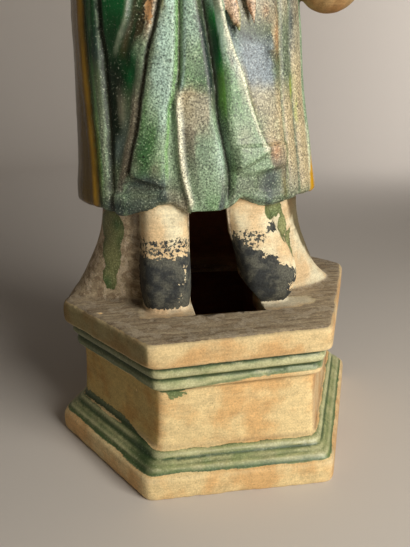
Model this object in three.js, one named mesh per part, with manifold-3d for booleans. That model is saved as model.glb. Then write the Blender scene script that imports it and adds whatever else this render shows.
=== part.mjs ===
// Guardian statue in glazed earthenware: a robed figure fired in one piece with its hexagonal plinth.
// Millimetres, +Z up. The underside is at z = 0, the front faces -Y, and +X is the viewer's right.
import * as THREE from "three";
import { mergeVertices } from "three/addons/utils/BufferGeometryUtils.js";
import Module from "manifold-3d";

const wasm = await Module();
wasm.setup();

// Plinth: plans of its foot and its cap, corner by corner, with the small twist of hand-joined slabs
const FOOT_PLAN = [[-49.6, -85], [48.3, -86.8], [97.5, 20], [49, 86.8], [-49, 86], [-97.5, -10]];
const CAP_PLAN = [[-45.2, -81.8], [47.2, -76.9], [91.8, 20.5], [46, 80], [-46, 80], [-91, -13.4]];
const FOOT_TOP = 13.5;
const DIE_BOTTOM = 22;
const DIE_TOP = 57.5;
const CAP_BOTTOM = 73.6;
const CAP_TOP = 86.4;
const DIE_SHARE = 0.86;
const CORNER_ROUND = 4;
const CORNER_STEPS = 3;

// Skirt below the hem: it flares from under the robe to the corners of the plinth
const SKIRT_LEVELS = [80, 86, 90, 96, 103, 111, 120, 146];

// Robe: the hem, and the belt and shoulders that the body is built up to
const HEM = 140.5;
const BELT = 285;
const SHOULDER = 386;
const NECK = 402;
const LEAN_X = -13;

// Walls of the hollow inside
const WALL = 8;
const HOLLOW_TOP = 352;
const PLINTH_HOLLOW_TOP = 78;

// Head: from chin to crown, and the cap that covers the hair
const CHIN = 400;
const CROWN = 462;
const HAT_TOP = 480;
const HEAD_HALF_WIDTH = 21;
const HEAD_HALF_DEPTH = 25;

const FRONT_DENSITY = 0.35; // how far the columns of a body section crowd towards the front
const CLAY = new THREE.Color("#a98f63");

const lerp = THREE.MathUtils.lerp;
const smoothstep = THREE.MathUtils.smoothstep;

// Value at height z on a smooth curve through [height, value] stations listed upwards
function along(stations, z) {
  const last = stations.length - 1;
  if (z <= stations[0][0]) return stations[0][1];
  if (z >= stations[last][0]) return stations[last][1];
  const i = stations.findIndex((station) => station[0] > z) - 1;
  const slope = (j) => {
    const a = stations[Math.max(j - 1, 0)];
    const b = stations[Math.min(j + 1, last)];
    return (b[1] - a[1]) / (b[0] - a[0]);
  };
  const [z0, v0] = stations[i];
  const [z1, v1] = stations[i + 1];
  const span = z1 - z0;
  const s = (z - z0) / span;
  const rise = v0 * (2 * s ** 3 - 3 * s ** 2 + 1) + v1 * (3 * s ** 2 - 2 * s ** 3);
  return rise + span * (slope(i) * (s ** 3 - 2 * s ** 2 + s) + slope(i + 1) * (s ** 3 - s ** 2));
}

// A raised stretch between two edges, with a slope of the given width at each edge
function between(x, low, high, soft) {
  return smoothstep(x, low - soft / 2, low + soft / 2) * (1 - smoothstep(x, high - soft / 2, high + soft / 2));
}

// A rounded ridge or furrow, one high at its centre
function ridge(x, centre, halfWidth) {
  const d = (x - centre) / halfWidth;
  return Math.exp(-d * d);
}

// Point on an oval with flattened sides, angle 0 at the front and growing towards +X
function oval(angle, halfWidth, halfDepth, square = 2.3) {
  const s = Math.sin(angle);
  const c = Math.cos(angle);
  const power = 2 / square;
  return [
    halfWidth * Math.sign(s) * Math.abs(s) ** power,
    -halfDepth * Math.sign(c) * Math.abs(c) ** power,
  ];
}

// Closed solid from a stack of rings: place(angle, level number, share of radius) gives each point
function stacked(columns, levels, place) {
  const geometry = new THREE.CylinderGeometry(1, 1, 1, columns, levels - 1);
  const points = geometry.getAttribute("position");
  for (let i = 0; i < points.count; i++) {
    const radius = Math.hypot(points.getX(i), points.getZ(i));
    const angle = Math.atan2(points.getX(i), points.getZ(i));
    const level = Math.round((points.getY(i) + 0.5) * (levels - 1));
    points.setXYZ(i, ...place(angle, level, Math.round(radius)));
  }
  return solid(geometry);
}

// Closed solid from a ball whose points are moved: place(unit vector) gives each point
function moulded(columns, rows, place) {
  const geometry = new THREE.SphereGeometry(1, columns, rows);
  geometry.rotateX(Math.PI / 2);
  const points = geometry.getAttribute("position");
  for (let i = 0; i < points.count; i++) {
    points.setXYZ(i, ...place(new THREE.Vector3().fromBufferAttribute(points, i)));
  }
  return solid(geometry);
}

function solid(geometry) {
  geometry.deleteAttribute("normal");
  geometry.deleteAttribute("uv");
  const merged = mergeVertices(geometry, 1e-3);
  return new wasm.Manifold(new wasm.Mesh({
    numProp: 3,
    vertProperties: new Float32Array(merged.getAttribute("position").array),
    triVerts: new Uint32Array(merged.index.array),
  }));
}

// Rounded limb along a smooth path: stations are [x, y, z, radius], and flat squeezes it in depth
function limb(stations, columns, rows, flat = 1) {
  const path = new THREE.CatmullRomCurve3(stations.map(([x, y, z]) => new THREE.Vector3(x, y, z)));
  const girth = stations.map((station, i) => [i / (stations.length - 1), station[3]]);
  const depthwise = new THREE.Vector3(0, 1, 0);
  return moulded(columns, rows, (unit) => {
    const share = Math.acos(THREE.MathUtils.clamp(unit.z, -1, 1)) / Math.PI;
    const centre = path.getPoint(share);
    const ahead = path.getTangent(share);
    const side = new THREE.Vector3().crossVectors(ahead, depthwise).normalize();
    const out = new THREE.Vector3().crossVectors(side, ahead).normalize();
    const around = Math.atan2(unit.y, unit.x);
    const round = Math.sqrt(Math.sin(Math.PI * share));
    const radius = along(girth, share) * Math.min(1, round * 1.15);
    centre.addScaledVector(side, Math.cos(around) * radius);
    centre.addScaledVector(out, Math.sin(around) * radius * flat);
    return centre.toArray();
  });
}

// Plinth, worked as a stack of rounded hexagons
const PLINTH_PROFILE = [
  // share of the plan, height, and how far the plan has turned from the foot's to the cap's
  [0.985, 0, 0],
  [1, 1.5, 0],
  [1, FOOT_TOP - 2, 0],
  [0.98, FOOT_TOP, 0],
  [0.955, FOOT_TOP + 3.4, 0],
  [0.905, FOOT_TOP + 5.6, 0],
  [0.9, FOOT_TOP + 5.2, 0.1],
  [0.885, FOOT_TOP + 7.6, 0.1],
  [DIE_SHARE, DIE_BOTTOM, 0.2],
  [DIE_SHARE + 0.015, DIE_TOP, 0.8],
  [0.915, DIE_TOP + 2, 0.8],
  [0.92, DIE_TOP + 6, 0.9],
  [0.945, DIE_TOP + 8, 0.9],
  [0.955, CAP_BOTTOM - 3, 1],
  [0.985, CAP_BOTTOM - 0.6, 1],
  [1, CAP_BOTTOM + 1.2, 1],
  [1, CAP_TOP - 2, 1],
  [0.975, CAP_TOP, 1],
];

function hexagonPoint(column, turn, share, inset) {
  const corners = FOOT_PLAN.length;
  const corner = Math.floor(column / (CORNER_STEPS + 1)) % corners;
  const step = (column % (CORNER_STEPS + 1)) / CORNER_STEPS;
  const at = (i) => {
    const k = (i + corners) % corners;
    const point = new THREE.Vector2(...FOOT_PLAN[k]).lerp(new THREE.Vector2(...CAP_PLAN[k]), turn);
    return point.multiplyScalar(share - inset / point.length());
  };
  const here = at(corner);
  const before = here.clone().add(at(corner - 1).sub(here).setLength(CORNER_ROUND));
  const after = here.clone().add(at(corner + 1).sub(here).setLength(CORNER_ROUND));
  return new THREE.QuadraticBezierCurve(before, here, after).getPoint(step);
}

const PLINTH_COLUMNS = FOOT_PLAN.length * (CORNER_STEPS + 1);
const columnOf = (angle) => (Math.round((angle / (2 * Math.PI)) * PLINTH_COLUMNS) + PLINTH_COLUMNS) % PLINTH_COLUMNS;

function plinth() {
  return stacked(PLINTH_COLUMNS, PLINTH_PROFILE.length, (angle, level, share) => {
    const [scale, z, turn] = PLINTH_PROFILE[level];
    const p = hexagonPoint(columnOf(angle), turn, scale, 0);
    return [p.x * share, p.y * share, z];
  });
}

// Skirt: half widths, half depths to the front and back, centre, and squareness, by height
const SKIRT_WIDTH = [[80, 86], [86, 82], [90, 79], [96, 73.5], [103, 69], [111, 64.5], [120, 60], [130, 57], [146, 55]];
const SKIRT_FRONT = [[80, 28], [96, 31], [120, 36], [146, 40]];
const SKIRT_BACK = [[80, 52], [96, 48], [120, 43], [146, 40]];
const SKIRT_CENTRE = [[80, -3], [96, -4.5], [130, -7.5], [146, -8.5]];
const SKIRT_SQUARE = [[80, 1.7], [96, 1.8], [120, 2.1], [146, 2.3]];

function skirt() {
  return stacked(40, SKIRT_LEVELS.length, (angle, level, share) => {
    const z = SKIRT_LEVELS[level];
    const depth = along(Math.abs(angle) < Math.PI / 2 ? SKIRT_FRONT : SKIRT_BACK, z);
    const [x, y] = oval(angle, along(SKIRT_WIDTH, z), depth, along(SKIRT_SQUARE, z));
    return [along(SKIRT_CENTRE, z) + x * share, y * share, z];
  });
}

// Feet: rounded-square boots, by height: centre x, half width, front y. The right-hand one turns outwards
const LEFT_BOOT = [
  [82, -32, 12, -42], [88, -32, 12.4, -43.6], [94, -32, 13, -45.6], [104, -31.8, 13.3, -46.6],
  [113, -31.8, 13.2, -45.4], [118.5, -31.7, 12.8, -43], [127, -31.5, 12.7, -42.6], [148, -31.5, 12.4, -42],
];
const RIGHT_BOOT = [
  [82, 25, 8, -39], [89, 25, 9.5, -41.5], [95, 24.5, 12.6, -43.6], [102, 24.2, 15.2, -44.8],
  [110, 22.8, 16, -44.4], [120, 18.8, 15, -42.4], [130, 14.2, 12.8, -41.2], [148, 9.5, 11.4, -41],
];
const BOOT_BACK = -12;

function boot(stations) {
  return stacked(18, stations.length, (angle, level, share) => {
    const [z, centre, halfWidth, front] = stations[level];
    const [x, y] = oval(angle, halfWidth, (BOOT_BACK - front) / 2, 3);
    return [centre + x * share, (BOOT_BACK + front) / 2 + y * share, z];
  });
}

// Robe and trunk: half widths, half depths and centre, by height
const ROBE_WIDTH = [
  [136, 66.4], [142, 67], [165, 64.3], [195, 60.9], [242, 57.6], [BELT, 52], [320, 54], [350, 58],
  [372, 57], [SHOULDER, 47], [394, 31], [NECK, 19],
];
const ROBE_DEPTH = [
  [136, 45.4], [150, 46], [180, 44], [242, 40], [BELT, 37], [330, 38], [360, 37], [SHOULDER, 29], [394, 23], [NECK, 18],
];
const ROBE_CENTRE = [[136, -8.8], [165, -9.9], [195, -11.9], [225, -13.1], [NECK, LEAN_X]];

// Edges in the cloth at the front, as [height, x]
const LEFT_PANEL_LEFT = [[152, -50], [159, -47.7], [176, -42.2], [194, -39.4], [218, -33.2], [236, -27], [BELT, -17]];
const LEFT_PANEL_RIGHT = [[152, -30.9], [171, -30], [194, -27.8], [198, -23.5], [236, -22.1], [BELT, -14]];
const CENTRE_FURROW = [[136, -3.5], [143, -2.5], [155, 1.4], [165, -1], [180, -2.8], [202, -5.8], [217, -8.9], [236, -11.2], [BELT, -12]];
const RIGHT_PANEL_RIGHT = [[160, 23], [169, 20.1], [184, 13.9], [202, 6.8], [213, 3], [224, -0.3], [236, -5.7], [BELT, -9]];
const LEFT_FURROW = [[136, -59], [151, -58.2], [189, -57], [221, -58.9], [238, -59.9], [BELT, -58]];
const RIGHT_FURROW = [[136, 33], [163, 31.9], [188, 27], [238, 26.6], [BELT, 24]];
const RIGHT_FURROW_OUTER = [[136, 40.5], [147, 39.8], [163, 39], [192, 36], [238, 33.9], [BELT, 31]];
const PANEL_RAISE = 3.4;
const FURROW_DEPTH = 2.2;
const BACK_FOLDS = 9;
const BACK_FOLD_HEIGHT = 1.3;

// How far the cloth stands out from the smooth body at one place
function drapery(angle, x, z) {
  const front = smoothstep(Math.cos(angle), -0.05, 0.2);
  const below = 1 - smoothstep(z, BELT - 8, BELT - 2);
  const leftFoot = lerp(152.5, 159, THREE.MathUtils.clamp((-31 - x) / 17, 0, 1));
  const rightFoot = lerp(160.3, 168.5, THREE.MathUtils.clamp((x - 4) / 16, 0, 1));
  const furrow = along(CENTRE_FURROW, z);
  let out = 0;
  out += PANEL_RAISE * between(x, along(LEFT_PANEL_LEFT, z), along(LEFT_PANEL_RIGHT, z), 2.5) * smoothstep(z, leftFoot - 2, leftFoot + 2);
  out += PANEL_RAISE * between(x, furrow + 1.5, along(RIGHT_PANEL_RIGHT, z), 2.5) * smoothstep(z, rightFoot - 2, rightFoot + 2);
  out += 1.6 * between(x, furrow + 4, 32, 3) * between(z, 160, 172, 3);
  out += 2.4 * between(x, -23, furrow - 1, 7) * (1 - smoothstep(z, 240, 265));
  out -= FURROW_DEPTH * ridge(x, furrow, 2.6);
  out -= FURROW_DEPTH * ridge(x, along(LEFT_FURROW, z), 2.8);
  out -= 1.4 * ridge(x, along(RIGHT_FURROW, z), 2);
  out -= 1.4 * ridge(x, along(RIGHT_FURROW_OUTER, z), 2);
  out -= 1.6 * between(x, -55, along(LEFT_PANEL_LEFT, z) - 2, 4) * between(z, 152, 240, 6);
  const backFolds = BACK_FOLD_HEIGHT * Math.cos(BACK_FOLDS * angle) * (1 - smoothstep(z, 300, 350));
  return below * front * out + (1 - front) * backFolds;
}

// The girdle, and the two crossed edges of the collar above it
function belt(z) {
  return 2.2 * between(z, BELT - 7, BELT + 7, 3);
}

function collar(angle, x, z) {
  const front = smoothstep(Math.cos(angle), 0.1, 0.4);
  const rise = (z - BELT) / (SHOULDER - BELT);
  const over = ridge(x, LEAN_X + lerp(14, -24, rise), 5) * smoothstep(rise, 0.05, 0.12);
  const under = ridge(x, LEAN_X + lerp(-14, 24, rise), 5) * smoothstep(rise, 0.4, 0.5);
  return 2 * front * Math.max(over, under) * (1 - smoothstep(z, 388, 396));
}

// Height of the hem: it lifts over each foot and dips beside them
function hemWave(x, angle) {
  const front = smoothstep(Math.cos(angle), 0, 0.3);
  const lift = 4 * ridge(x, -31, 8) + 5 * ridge(x, 8, 7) - 2.6 * ridge(x, -53, 8) - 1.4 * ridge(x, -12, 8);
  return front * lift;
}

const ROBE_LEVELS = [
  HEM, 143, 148, 152, 156, 160, 164, 169, 176, 186, 198, 210, 223, 238, 254, 270,
  277, 280, 290, 293, 306, 322, 340, 356, 369, 379, SHOULDER, 393, NECK,
];

function robe() {
  return stacked(68, ROBE_LEVELS.length, (angle, level, share) => {
    const t = angle - FRONT_DENSITY * Math.sin(angle);
    const z = ROBE_LEVELS[level];
    const [ox, oy] = oval(t, along(ROBE_WIDTH, z), along(ROBE_DEPTH, z));
    const x = along(ROBE_CENTRE, z) + ox;
    const roll = level === 0 ? -2 : 0;
    const out = drapery(t, x, z) + belt(z) + collar(t, x, z) + roll;
    const length = Math.hypot(ox, oy);
    const grow = (1 + out / length) * share;
    const rise = hemWave(x, t) * (1 - smoothstep(z, HEM, HEM + 22)) * share;
    return [along(ROBE_CENTRE, z) + ox * grow, oy * grow, z + rise];
  });
}

// Girdle ends: two ribbons that hang from the knot
const RIBBONS = [
  [[-8, -39, 284, 3.5], [-2, -42, 262, 4.2], [2.5, -43, 240, 4], [6, -41.6, 224, 2.4]],
  [[-4, -38, 284, 3.5], [4, -41, 264, 3.6], [10, -41, 244, 3.4], [13.2, -39.6, 228, 2]],
];
const KNOT = [[-14, -37, 285, 5], [-7, -40, 285, 7], [0, -37, 285, 5]];

// Arms: sleeves, the hanging end of the wide one, and bare fists
const OUTER_SLEEVE = [[22, 2, 374, 20], [48, 3, 356, 21], [63, 2, 322, 19], [63, -8, 284, 18.5], [58, -14, 256, 19]];
const BENT_SLEEVE = [[-48, 2, 374, 20], [-70, 3, 350, 21], [-75, -6, 314, 19], [-58, -32, 300, 17], [-34, -45, 299, 15]];
const SLEEVE_FALL = [[-60, -26, 300, 15], [-57, -33, 272, 13], [-52, -36, 244, 9.5], [-51, -37, 224, 6.5], [-53, -35, 206, 3.5]];
const OUTER_FIST = { centre: [58, -15, 250], half: [17, 14, 16] };
const BENT_FIST = { centre: [-26, -48, 299], half: [14, 11, 13] };

function fist({ centre, half }) {
  return moulded(12, 8, (unit) => {
    const knuckles = 1 + 0.05 * Math.cos(9 * unit.x) * Math.max(0, -unit.y);
    return centre.map((c, i) => c + half[i] * knuckles * unit.getComponent(i));
  });
}

// Head with a plain round cap. The face is a general one: brow, nose, lips and chin on even thirds
const HEAD_CENTRE = [LEAN_X, -3, (CHIN + CROWN) / 2];
const EYE_LINE = lerp(CHIN, CROWN, 0.5);
const NOSE_BASE = lerp(CHIN, CROWN, 0.32);
const MOUTH_LINE = lerp(CHIN, CROWN, 0.22);

function head() {
  const halfHeight = (CROWN - CHIN) / 2;
  return moulded(20, 16, (unit) => {
    const z = HEAD_CENTRE[2] + halfHeight * unit.z;
    const jaw = lerp(0.78, 1, smoothstep(z, CHIN, EYE_LINE));
    const x = HEAD_HALF_WIDTH * jaw * unit.x;
    const front = smoothstep(-unit.y, 0.2, 0.7);
    const nose = 5 * ridge(x, 0, 3) * smoothstep(z, NOSE_BASE - 2, NOSE_BASE + 1) * (1 - smoothstep(z, NOSE_BASE, EYE_LINE + 3));
    const lips = 1.6 * ridge(x, 0, 5.5) * ridge(z, MOUTH_LINE, 3);
    const chin = 2 * ridge(x, 0, 6) * ridge(z, CHIN + 6, 5);
    const sockets = 2 * ridge(Math.abs(x), 8.5, 4.5) * ridge(z, EYE_LINE, 3.5);
    const y = HEAD_HALF_DEPTH * unit.y - front * (nose + lips + chin - sockets);
    return [HEAD_CENTRE[0] + x, HEAD_CENTRE[1] + y, z];
  });
}

function ears() {
  return [-1, 1].map((side) => moulded(8, 8, (unit) => [
    HEAD_CENTRE[0] + side * (HEAD_HALF_WIDTH - 0.5) + 3 * unit.x,
    HEAD_CENTRE[1] + 2 + 5 * unit.y,
    EYE_LINE - 3 + 9.5 * unit.z,
  ]));
}

const NECK_STATIONS = [[396, 15.5], [412, 15]];

function neck() {
  return stacked(16, NECK_STATIONS.length, (angle, level, share) => {
    const [z, radius] = NECK_STATIONS[level];
    return [LEAN_X + radius * share * Math.sin(angle), -radius * share * Math.cos(angle), z];
  });
}

// Cap: [height, half width, half depth]
const CAP = [
  [446, 20, 24], [447, 23.6, 27.6], [453, 24, 28], [455, 22.4, 26.4], [463, 22, 26], [471, 19, 22.5],
  [476, 12.5, 15], [478, 5.5, 6], [HAT_TOP, 3.5, 4],
];

function cap() {
  return stacked(24, CAP.length, (angle, level, share) => {
    const [z, halfWidth, halfDepth] = CAP[level];
    const tilt = 3 * Math.cos(angle) * share * (1 - smoothstep(z, 455, 470));
    const lift = tilt * (halfDepth / CAP[2][2]);
    return [
      HEAD_CENTRE[0] + halfWidth * share * Math.sin(angle),
      HEAD_CENTRE[1] - halfDepth * share * Math.cos(angle),
      z + lift,
    ];
  });
}

// Hollow: an open hexagon under the plinth that runs up into the trunk
function plinthHollow() {
  const levels = [[-1, 0.985, 0, 12], [DIE_BOTTOM - 4, DIE_SHARE, 0.2, 9], [DIE_TOP, DIE_SHARE, 0.8, 9], [PLINTH_HOLLOW_TOP, 0.94, 1, 11]];
  return stacked(PLINTH_COLUMNS, levels.length, (angle, level, share) => {
    const [z, scale, turn, wall] = levels[level];
    const p = hexagonPoint(columnOf(angle), turn, scale, wall);
    return [p.x * share, p.y * share, z];
  });
}

const HOLLOW_LEVELS = [70, 84, 100, 120, 142, 180, 235, BELT, HOLLOW_TOP - 6, HOLLOW_TOP];

function bodyHollow() {
  return stacked(24, HOLLOW_LEVELS.length, (angle, level, share) => {
    const z = HOLLOW_LEVELS[level];
    const insideRobe = smoothstep(z, 110, 150);
    const closing = level === HOLLOW_LEVELS.length - 1 ? 10 : 0;
    const width = lerp(along(SKIRT_WIDTH, z) - 16, along(ROBE_WIDTH, z) - WALL - 3, insideRobe) - closing;
    const front = lerp(along(SKIRT_FRONT, z) - 7, along(ROBE_DEPTH, z) - WALL - 3, insideRobe) - closing;
    const back = lerp(along(SKIRT_BACK, z) - 9, along(ROBE_DEPTH, z) - WALL, insideRobe) - closing;
    const centre = lerp(along(SKIRT_CENTRE, z), along(ROBE_CENTRE, z), insideRobe);
    const [x, y] = oval(angle, width, Math.abs(angle) < Math.PI / 2 ? front : back);
    return [centre + x * share, y * share, z];
  });
}

// Gap between the feet, cut through to the hollow: [height, left x, right x]
const GAP = [[66, -18.4, 20], [88, -18.4, 19.4], [92, -18.6, 15.5], [99, -18.8, 10], [112, -19, 7], [127, -19.2, 2.2], [139, -19.3, 0.4], [141, -19.3, 0.2]];
const GAP_FRONT = -49.5;
const GAP_BACK = 6;

function gap() {
  const outline = new THREE.Shape([
    ...GAP.map(([z, left]) => new THREE.Vector2(left, z)),
    ...[...GAP].reverse().map(([z, , right]) => new THREE.Vector2(right, z)),
  ]);
  const geometry = new THREE.ExtrudeGeometry(outline, { depth: GAP_BACK - GAP_FRONT, bevelEnabled: false });
  geometry.rotateX(Math.PI / 2);
  geometry.translate(0, GAP_BACK, 0);
  return solid(geometry);
}

const outside = [
  skirt(), boot(LEFT_BOOT), boot(RIGHT_BOOT), robe(),
  ...RIBBONS.map((ribbon) => limb(ribbon, 8, 8, 0.5)), limb(KNOT, 8, 8, 0.7),
  limb(OUTER_SLEEVE, 12, 10), limb(BENT_SLEEVE, 12, 10), limb(SLEEVE_FALL, 10, 9, 0.6),
  fist(OUTER_FIST), fist(BENT_FIST), neck(), head(), ...ears(), cap(),
].reduce((whole, piece) => whole.add(piece), plinth());
const figure = outside.subtract(plinthHollow().add(bodyHollow()).add(gap()));

const made = figure.getMesh();
const geometry = new THREE.BufferGeometry();
geometry.setAttribute("position", new THREE.BufferAttribute(made.vertProperties, made.numProp));
geometry.setIndex(new THREE.BufferAttribute(made.triVerts, 1));
geometry.computeVertexNormals();

const statue = new THREE.Mesh(geometry, new THREE.MeshStandardMaterial({ color: CLAY, roughness: 0.7, metalness: 0 }));
statue.name = "guardian_figure";

const part = new THREE.Group();
part.add(statue);

export default part;
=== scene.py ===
import math
import bmesh
import bpy
import numpy as np
from mathutils import Matrix, Vector, bvhtree, noise


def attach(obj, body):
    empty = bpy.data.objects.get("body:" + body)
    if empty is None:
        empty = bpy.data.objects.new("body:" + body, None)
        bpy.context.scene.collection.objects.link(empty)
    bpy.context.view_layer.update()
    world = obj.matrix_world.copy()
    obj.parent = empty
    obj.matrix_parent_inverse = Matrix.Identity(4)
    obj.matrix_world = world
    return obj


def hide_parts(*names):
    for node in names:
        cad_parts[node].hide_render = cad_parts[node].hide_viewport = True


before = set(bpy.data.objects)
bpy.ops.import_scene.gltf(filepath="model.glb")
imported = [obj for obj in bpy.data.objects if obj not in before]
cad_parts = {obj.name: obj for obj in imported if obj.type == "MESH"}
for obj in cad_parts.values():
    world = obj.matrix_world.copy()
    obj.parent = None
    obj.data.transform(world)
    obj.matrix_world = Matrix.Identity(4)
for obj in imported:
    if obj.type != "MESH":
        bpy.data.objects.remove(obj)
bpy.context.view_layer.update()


# Plinth: a waisted hexagon of joined slabs with a pair of beads above and below its plain sides.
# It is buff earthenware, luted together by hand, so its foot and cap are each a little out of true.
MM = 0.001
FOOT_PLAN = np.array([(-49.6, -85), (48.3, -86.8), (97.5, 20), (49, 86.8), (-49, 86), (-97.5, -10)])
CAP_PLAN = np.array([(-45.2, -81.8), (47.2, -76.9), (91.8, 20.5), (46, 80), (-46, 80), (-91, -13.4)])
FOOT_TOP, DIE_BOTTOM, DIE_TOP, CAP_BOTTOM, CAP_TOP = 13.5, 22, 57.5, 73.6, 86.4
CORNER_ROUND = 4
CORNER_STEPS = 5
PLINTH_PROFILE = np.array([
    # share of the plan, height, turn from the foot's plan to the cap's
    (0.985, 0.0, 0), (0.995, 1.5, 0), (0.998, 4, 0), (0.998, 9, 0), (0.996, 11.8, 0), (0.986, 13.4, 0),
    (0.964, 14.0, 0), (0.959, 15.2, 0), (0.949, 16.4, 0), (0.937, 17.0, 0), (0.926, 16.9, 0), (0.921, 17.3, 0),
    (0.920, 18.1, 0), (0.913, 18.7, 0.05), (0.905, 18.6, 0.1), (0.901, 19.1, 0.1), (0.902, 20.3, 0.1),
    (0.896, 21.5, 0.15), (0.882, 22.3, 0.2), (0.868, 22.5, 0.2), (0.86, 23.2, 0.2),
    (0.86, 32, 0.35), (0.864, 45, 0.6), (0.872, 56.0, 0.8), (0.88, 57.2, 0.8), (0.905, 57.7, 0.8),
    (0.922, 59.0, 0.8), (0.926, 61.3, 0.85), (0.919, 63.2, 0.9), (0.908, 63.9, 0.9), (0.909, 65.0, 0.9),
    (0.930, 65.4, 0.9), (0.945, 66.6, 0.9), (0.95, 68.6, 0.95), (0.944, 70.4, 1), (0.935, 71.3, 1), (0.945, 72.2, 1),
    (0.985, 72.8, 1), (0.996, 74.2, 1), (0.998, 78, 1), (0.998, 82, 1), (0.994, 84.6, 1), (0.982, 86.0, 1),
    (0.965, 86.4, 1), (0.9, 86.4, 1), (0.8, 86.4, 1),
])


def step(x, low, high):
    s = np.clip((x - low) / (high - low), 0, 1)
    return s * s * (3 - 2 * s)


def along(stations, z):
    """Value at height z on a smooth curve through (height, value) stations."""
    heights, values = np.array(stations, float).T
    slopes = np.gradient(values, heights)
    z = np.clip(z, heights[0], heights[-1])
    i = np.clip(np.searchsorted(heights, z, side="right") - 1, 0, len(heights) - 2)
    span = heights[i + 1] - heights[i]
    s = (z - heights[i]) / span
    ends = values[i] * (2 * s**3 - 3 * s**2 + 1) + values[i + 1] * (3 * s**2 - 2 * s**3)
    return ends + span * (slopes[i] * (s**3 - 2 * s**2 + s) + slopes[i + 1] * (s**3 - s**2))


def shaped(name, bm, place):
    """A closed mesh whose points are moved from their places in bm by place(x, y, z), in millimetres."""
    mesh = bpy.data.meshes.new(name)
    bm.to_mesh(mesh)
    points = np.empty(len(mesh.vertices) * 3)
    mesh.vertices.foreach_get("co", points)
    moved = np.stack(np.broadcast_arrays(*place(*points.reshape(-1, 3).T)), axis=1) * MM
    mesh.vertices.foreach_set("co", moved.ravel())
    bm.clear()
    bm.from_mesh(mesh)
    bmesh.ops.remove_doubles(bm, verts=bm.verts, dist=0.01 * MM)
    bmesh.ops.holes_fill(bm, edges=[e for e in bm.edges if e.is_boundary], sides=0)
    bmesh.ops.recalc_face_normals(bm, faces=bm.faces)
    bm.to_mesh(mesh)
    bm.free()
    piece = bpy.data.objects.new(name, mesh)
    bpy.context.scene.collection.objects.link(piece)
    return piece


def stacked(name, columns, rows, place):
    """A closed form of stacked rings: place(angle, share of the height) gives their points."""
    bm = bmesh.new()
    bmesh.ops.create_grid(bm, x_segments=columns, y_segments=rows, size=1)
    return shaped(name, bm, lambda x, y, z: place(math.pi * x, (y + 1) / 2))


def hexagon_point(angle, turn, share, inset=0):
    """Point on the plinth's outline, with its corners rounded. Inset moves it inwards by a wall's thickness."""
    corners = len(FOOT_PLAN)
    columns = corners * (CORNER_STEPS + 1)
    column = np.round((angle / math.pi + 1) / 2 * columns).astype(int) % columns
    corner, t = column // (CORNER_STEPS + 1), (column % (CORNER_STEPS + 1) / CORNER_STEPS)[:, None]

    def at(k):
        plan = FOOT_PLAN[k % corners] * (1 - turn[:, None]) + CAP_PLAN[k % corners] * turn[:, None]
        return plan * (share - inset / np.linalg.norm(plan, axis=1))[:, None]

    def towards(a, b):
        return a + (b - a) * CORNER_ROUND / np.linalg.norm(b - a, axis=1)[:, None]

    here = at(corner)
    before, after = towards(here, at(corner - 1)), towards(here, at(corner + 1))
    return (before * (1 - t) ** 2 + here * 2 * t * (1 - t) + after * t**2).T


def plinth_place(angle, v):
    share, z, turn = PLINTH_PROFILE[np.round(v * (len(PLINTH_PROFILE) - 1)).astype(int)].T
    x, y = hexagon_point(angle, turn, share)
    return x, y, z


PLINTH_COLUMNS = len(FOOT_PLAN) * (CORNER_STEPS + 1) + 1
shells = {"plinth": [stacked("plinth", PLINTH_COLUMNS, len(PLINTH_PROFILE), plinth_place)]}


# Skirt: the wall of clay that flares from under the hem to the corners of the plinth.
# It is pulled up from the cap by hand, and stands behind the boots like a pair of buttresses.
SKIRT_BOTTOM, SKIRT_TOP = 80, 146
SKIRT_WIDTH = [(80, 82.5), (86, 78.5), (90, 74.8), (96, 70.2), (103, 66.5), (111, 62.6), (120, 58.9), (130, 56.5),
               (146, 55)]
SKIRT_FRONT = [(80, 28), (96, 31), (120, 36), (146, 40)]
SKIRT_BACK = [(80, 52), (96, 48), (120, 43), (146, 40)]
SKIRT_CENTRE = [(80, -6.5), (86, -6.5), (96, -7.7), (111, -7.6), (130, -8), (146, -8.5)]
SKIRT_SQUARE = [(80, 1.9), (96, 2.1), (120, 2.4), (146, 2.5)]
OVAL_SQUARE = 2.3


def oval(angle, half_width, half_depth, square=OVAL_SQUARE):
    """Point on an oval with flattened sides. Angle 0 is the front, and it grows towards the viewer's right."""
    s, c = np.sin(angle), np.cos(angle)
    return (half_width * np.sign(s) * np.abs(s) ** (2 / square),
            -half_depth * np.sign(c) * np.abs(c) ** (2 / square))


def skirt_place(angle, v):
    z = SKIRT_BOTTOM + (SKIRT_TOP - SKIRT_BOTTOM) * v
    depth = np.where(np.abs(angle) < math.pi / 2, along(SKIRT_FRONT, z), along(SKIRT_BACK, z))
    x, y = oval(angle, along(SKIRT_WIDTH, z), depth, along(SKIRT_SQUARE, z))
    return along(SKIRT_CENTRE, z) + x, y, z


shells["skirt"] = [stacked("skirt", 241, 61, skirt_place)]


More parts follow.
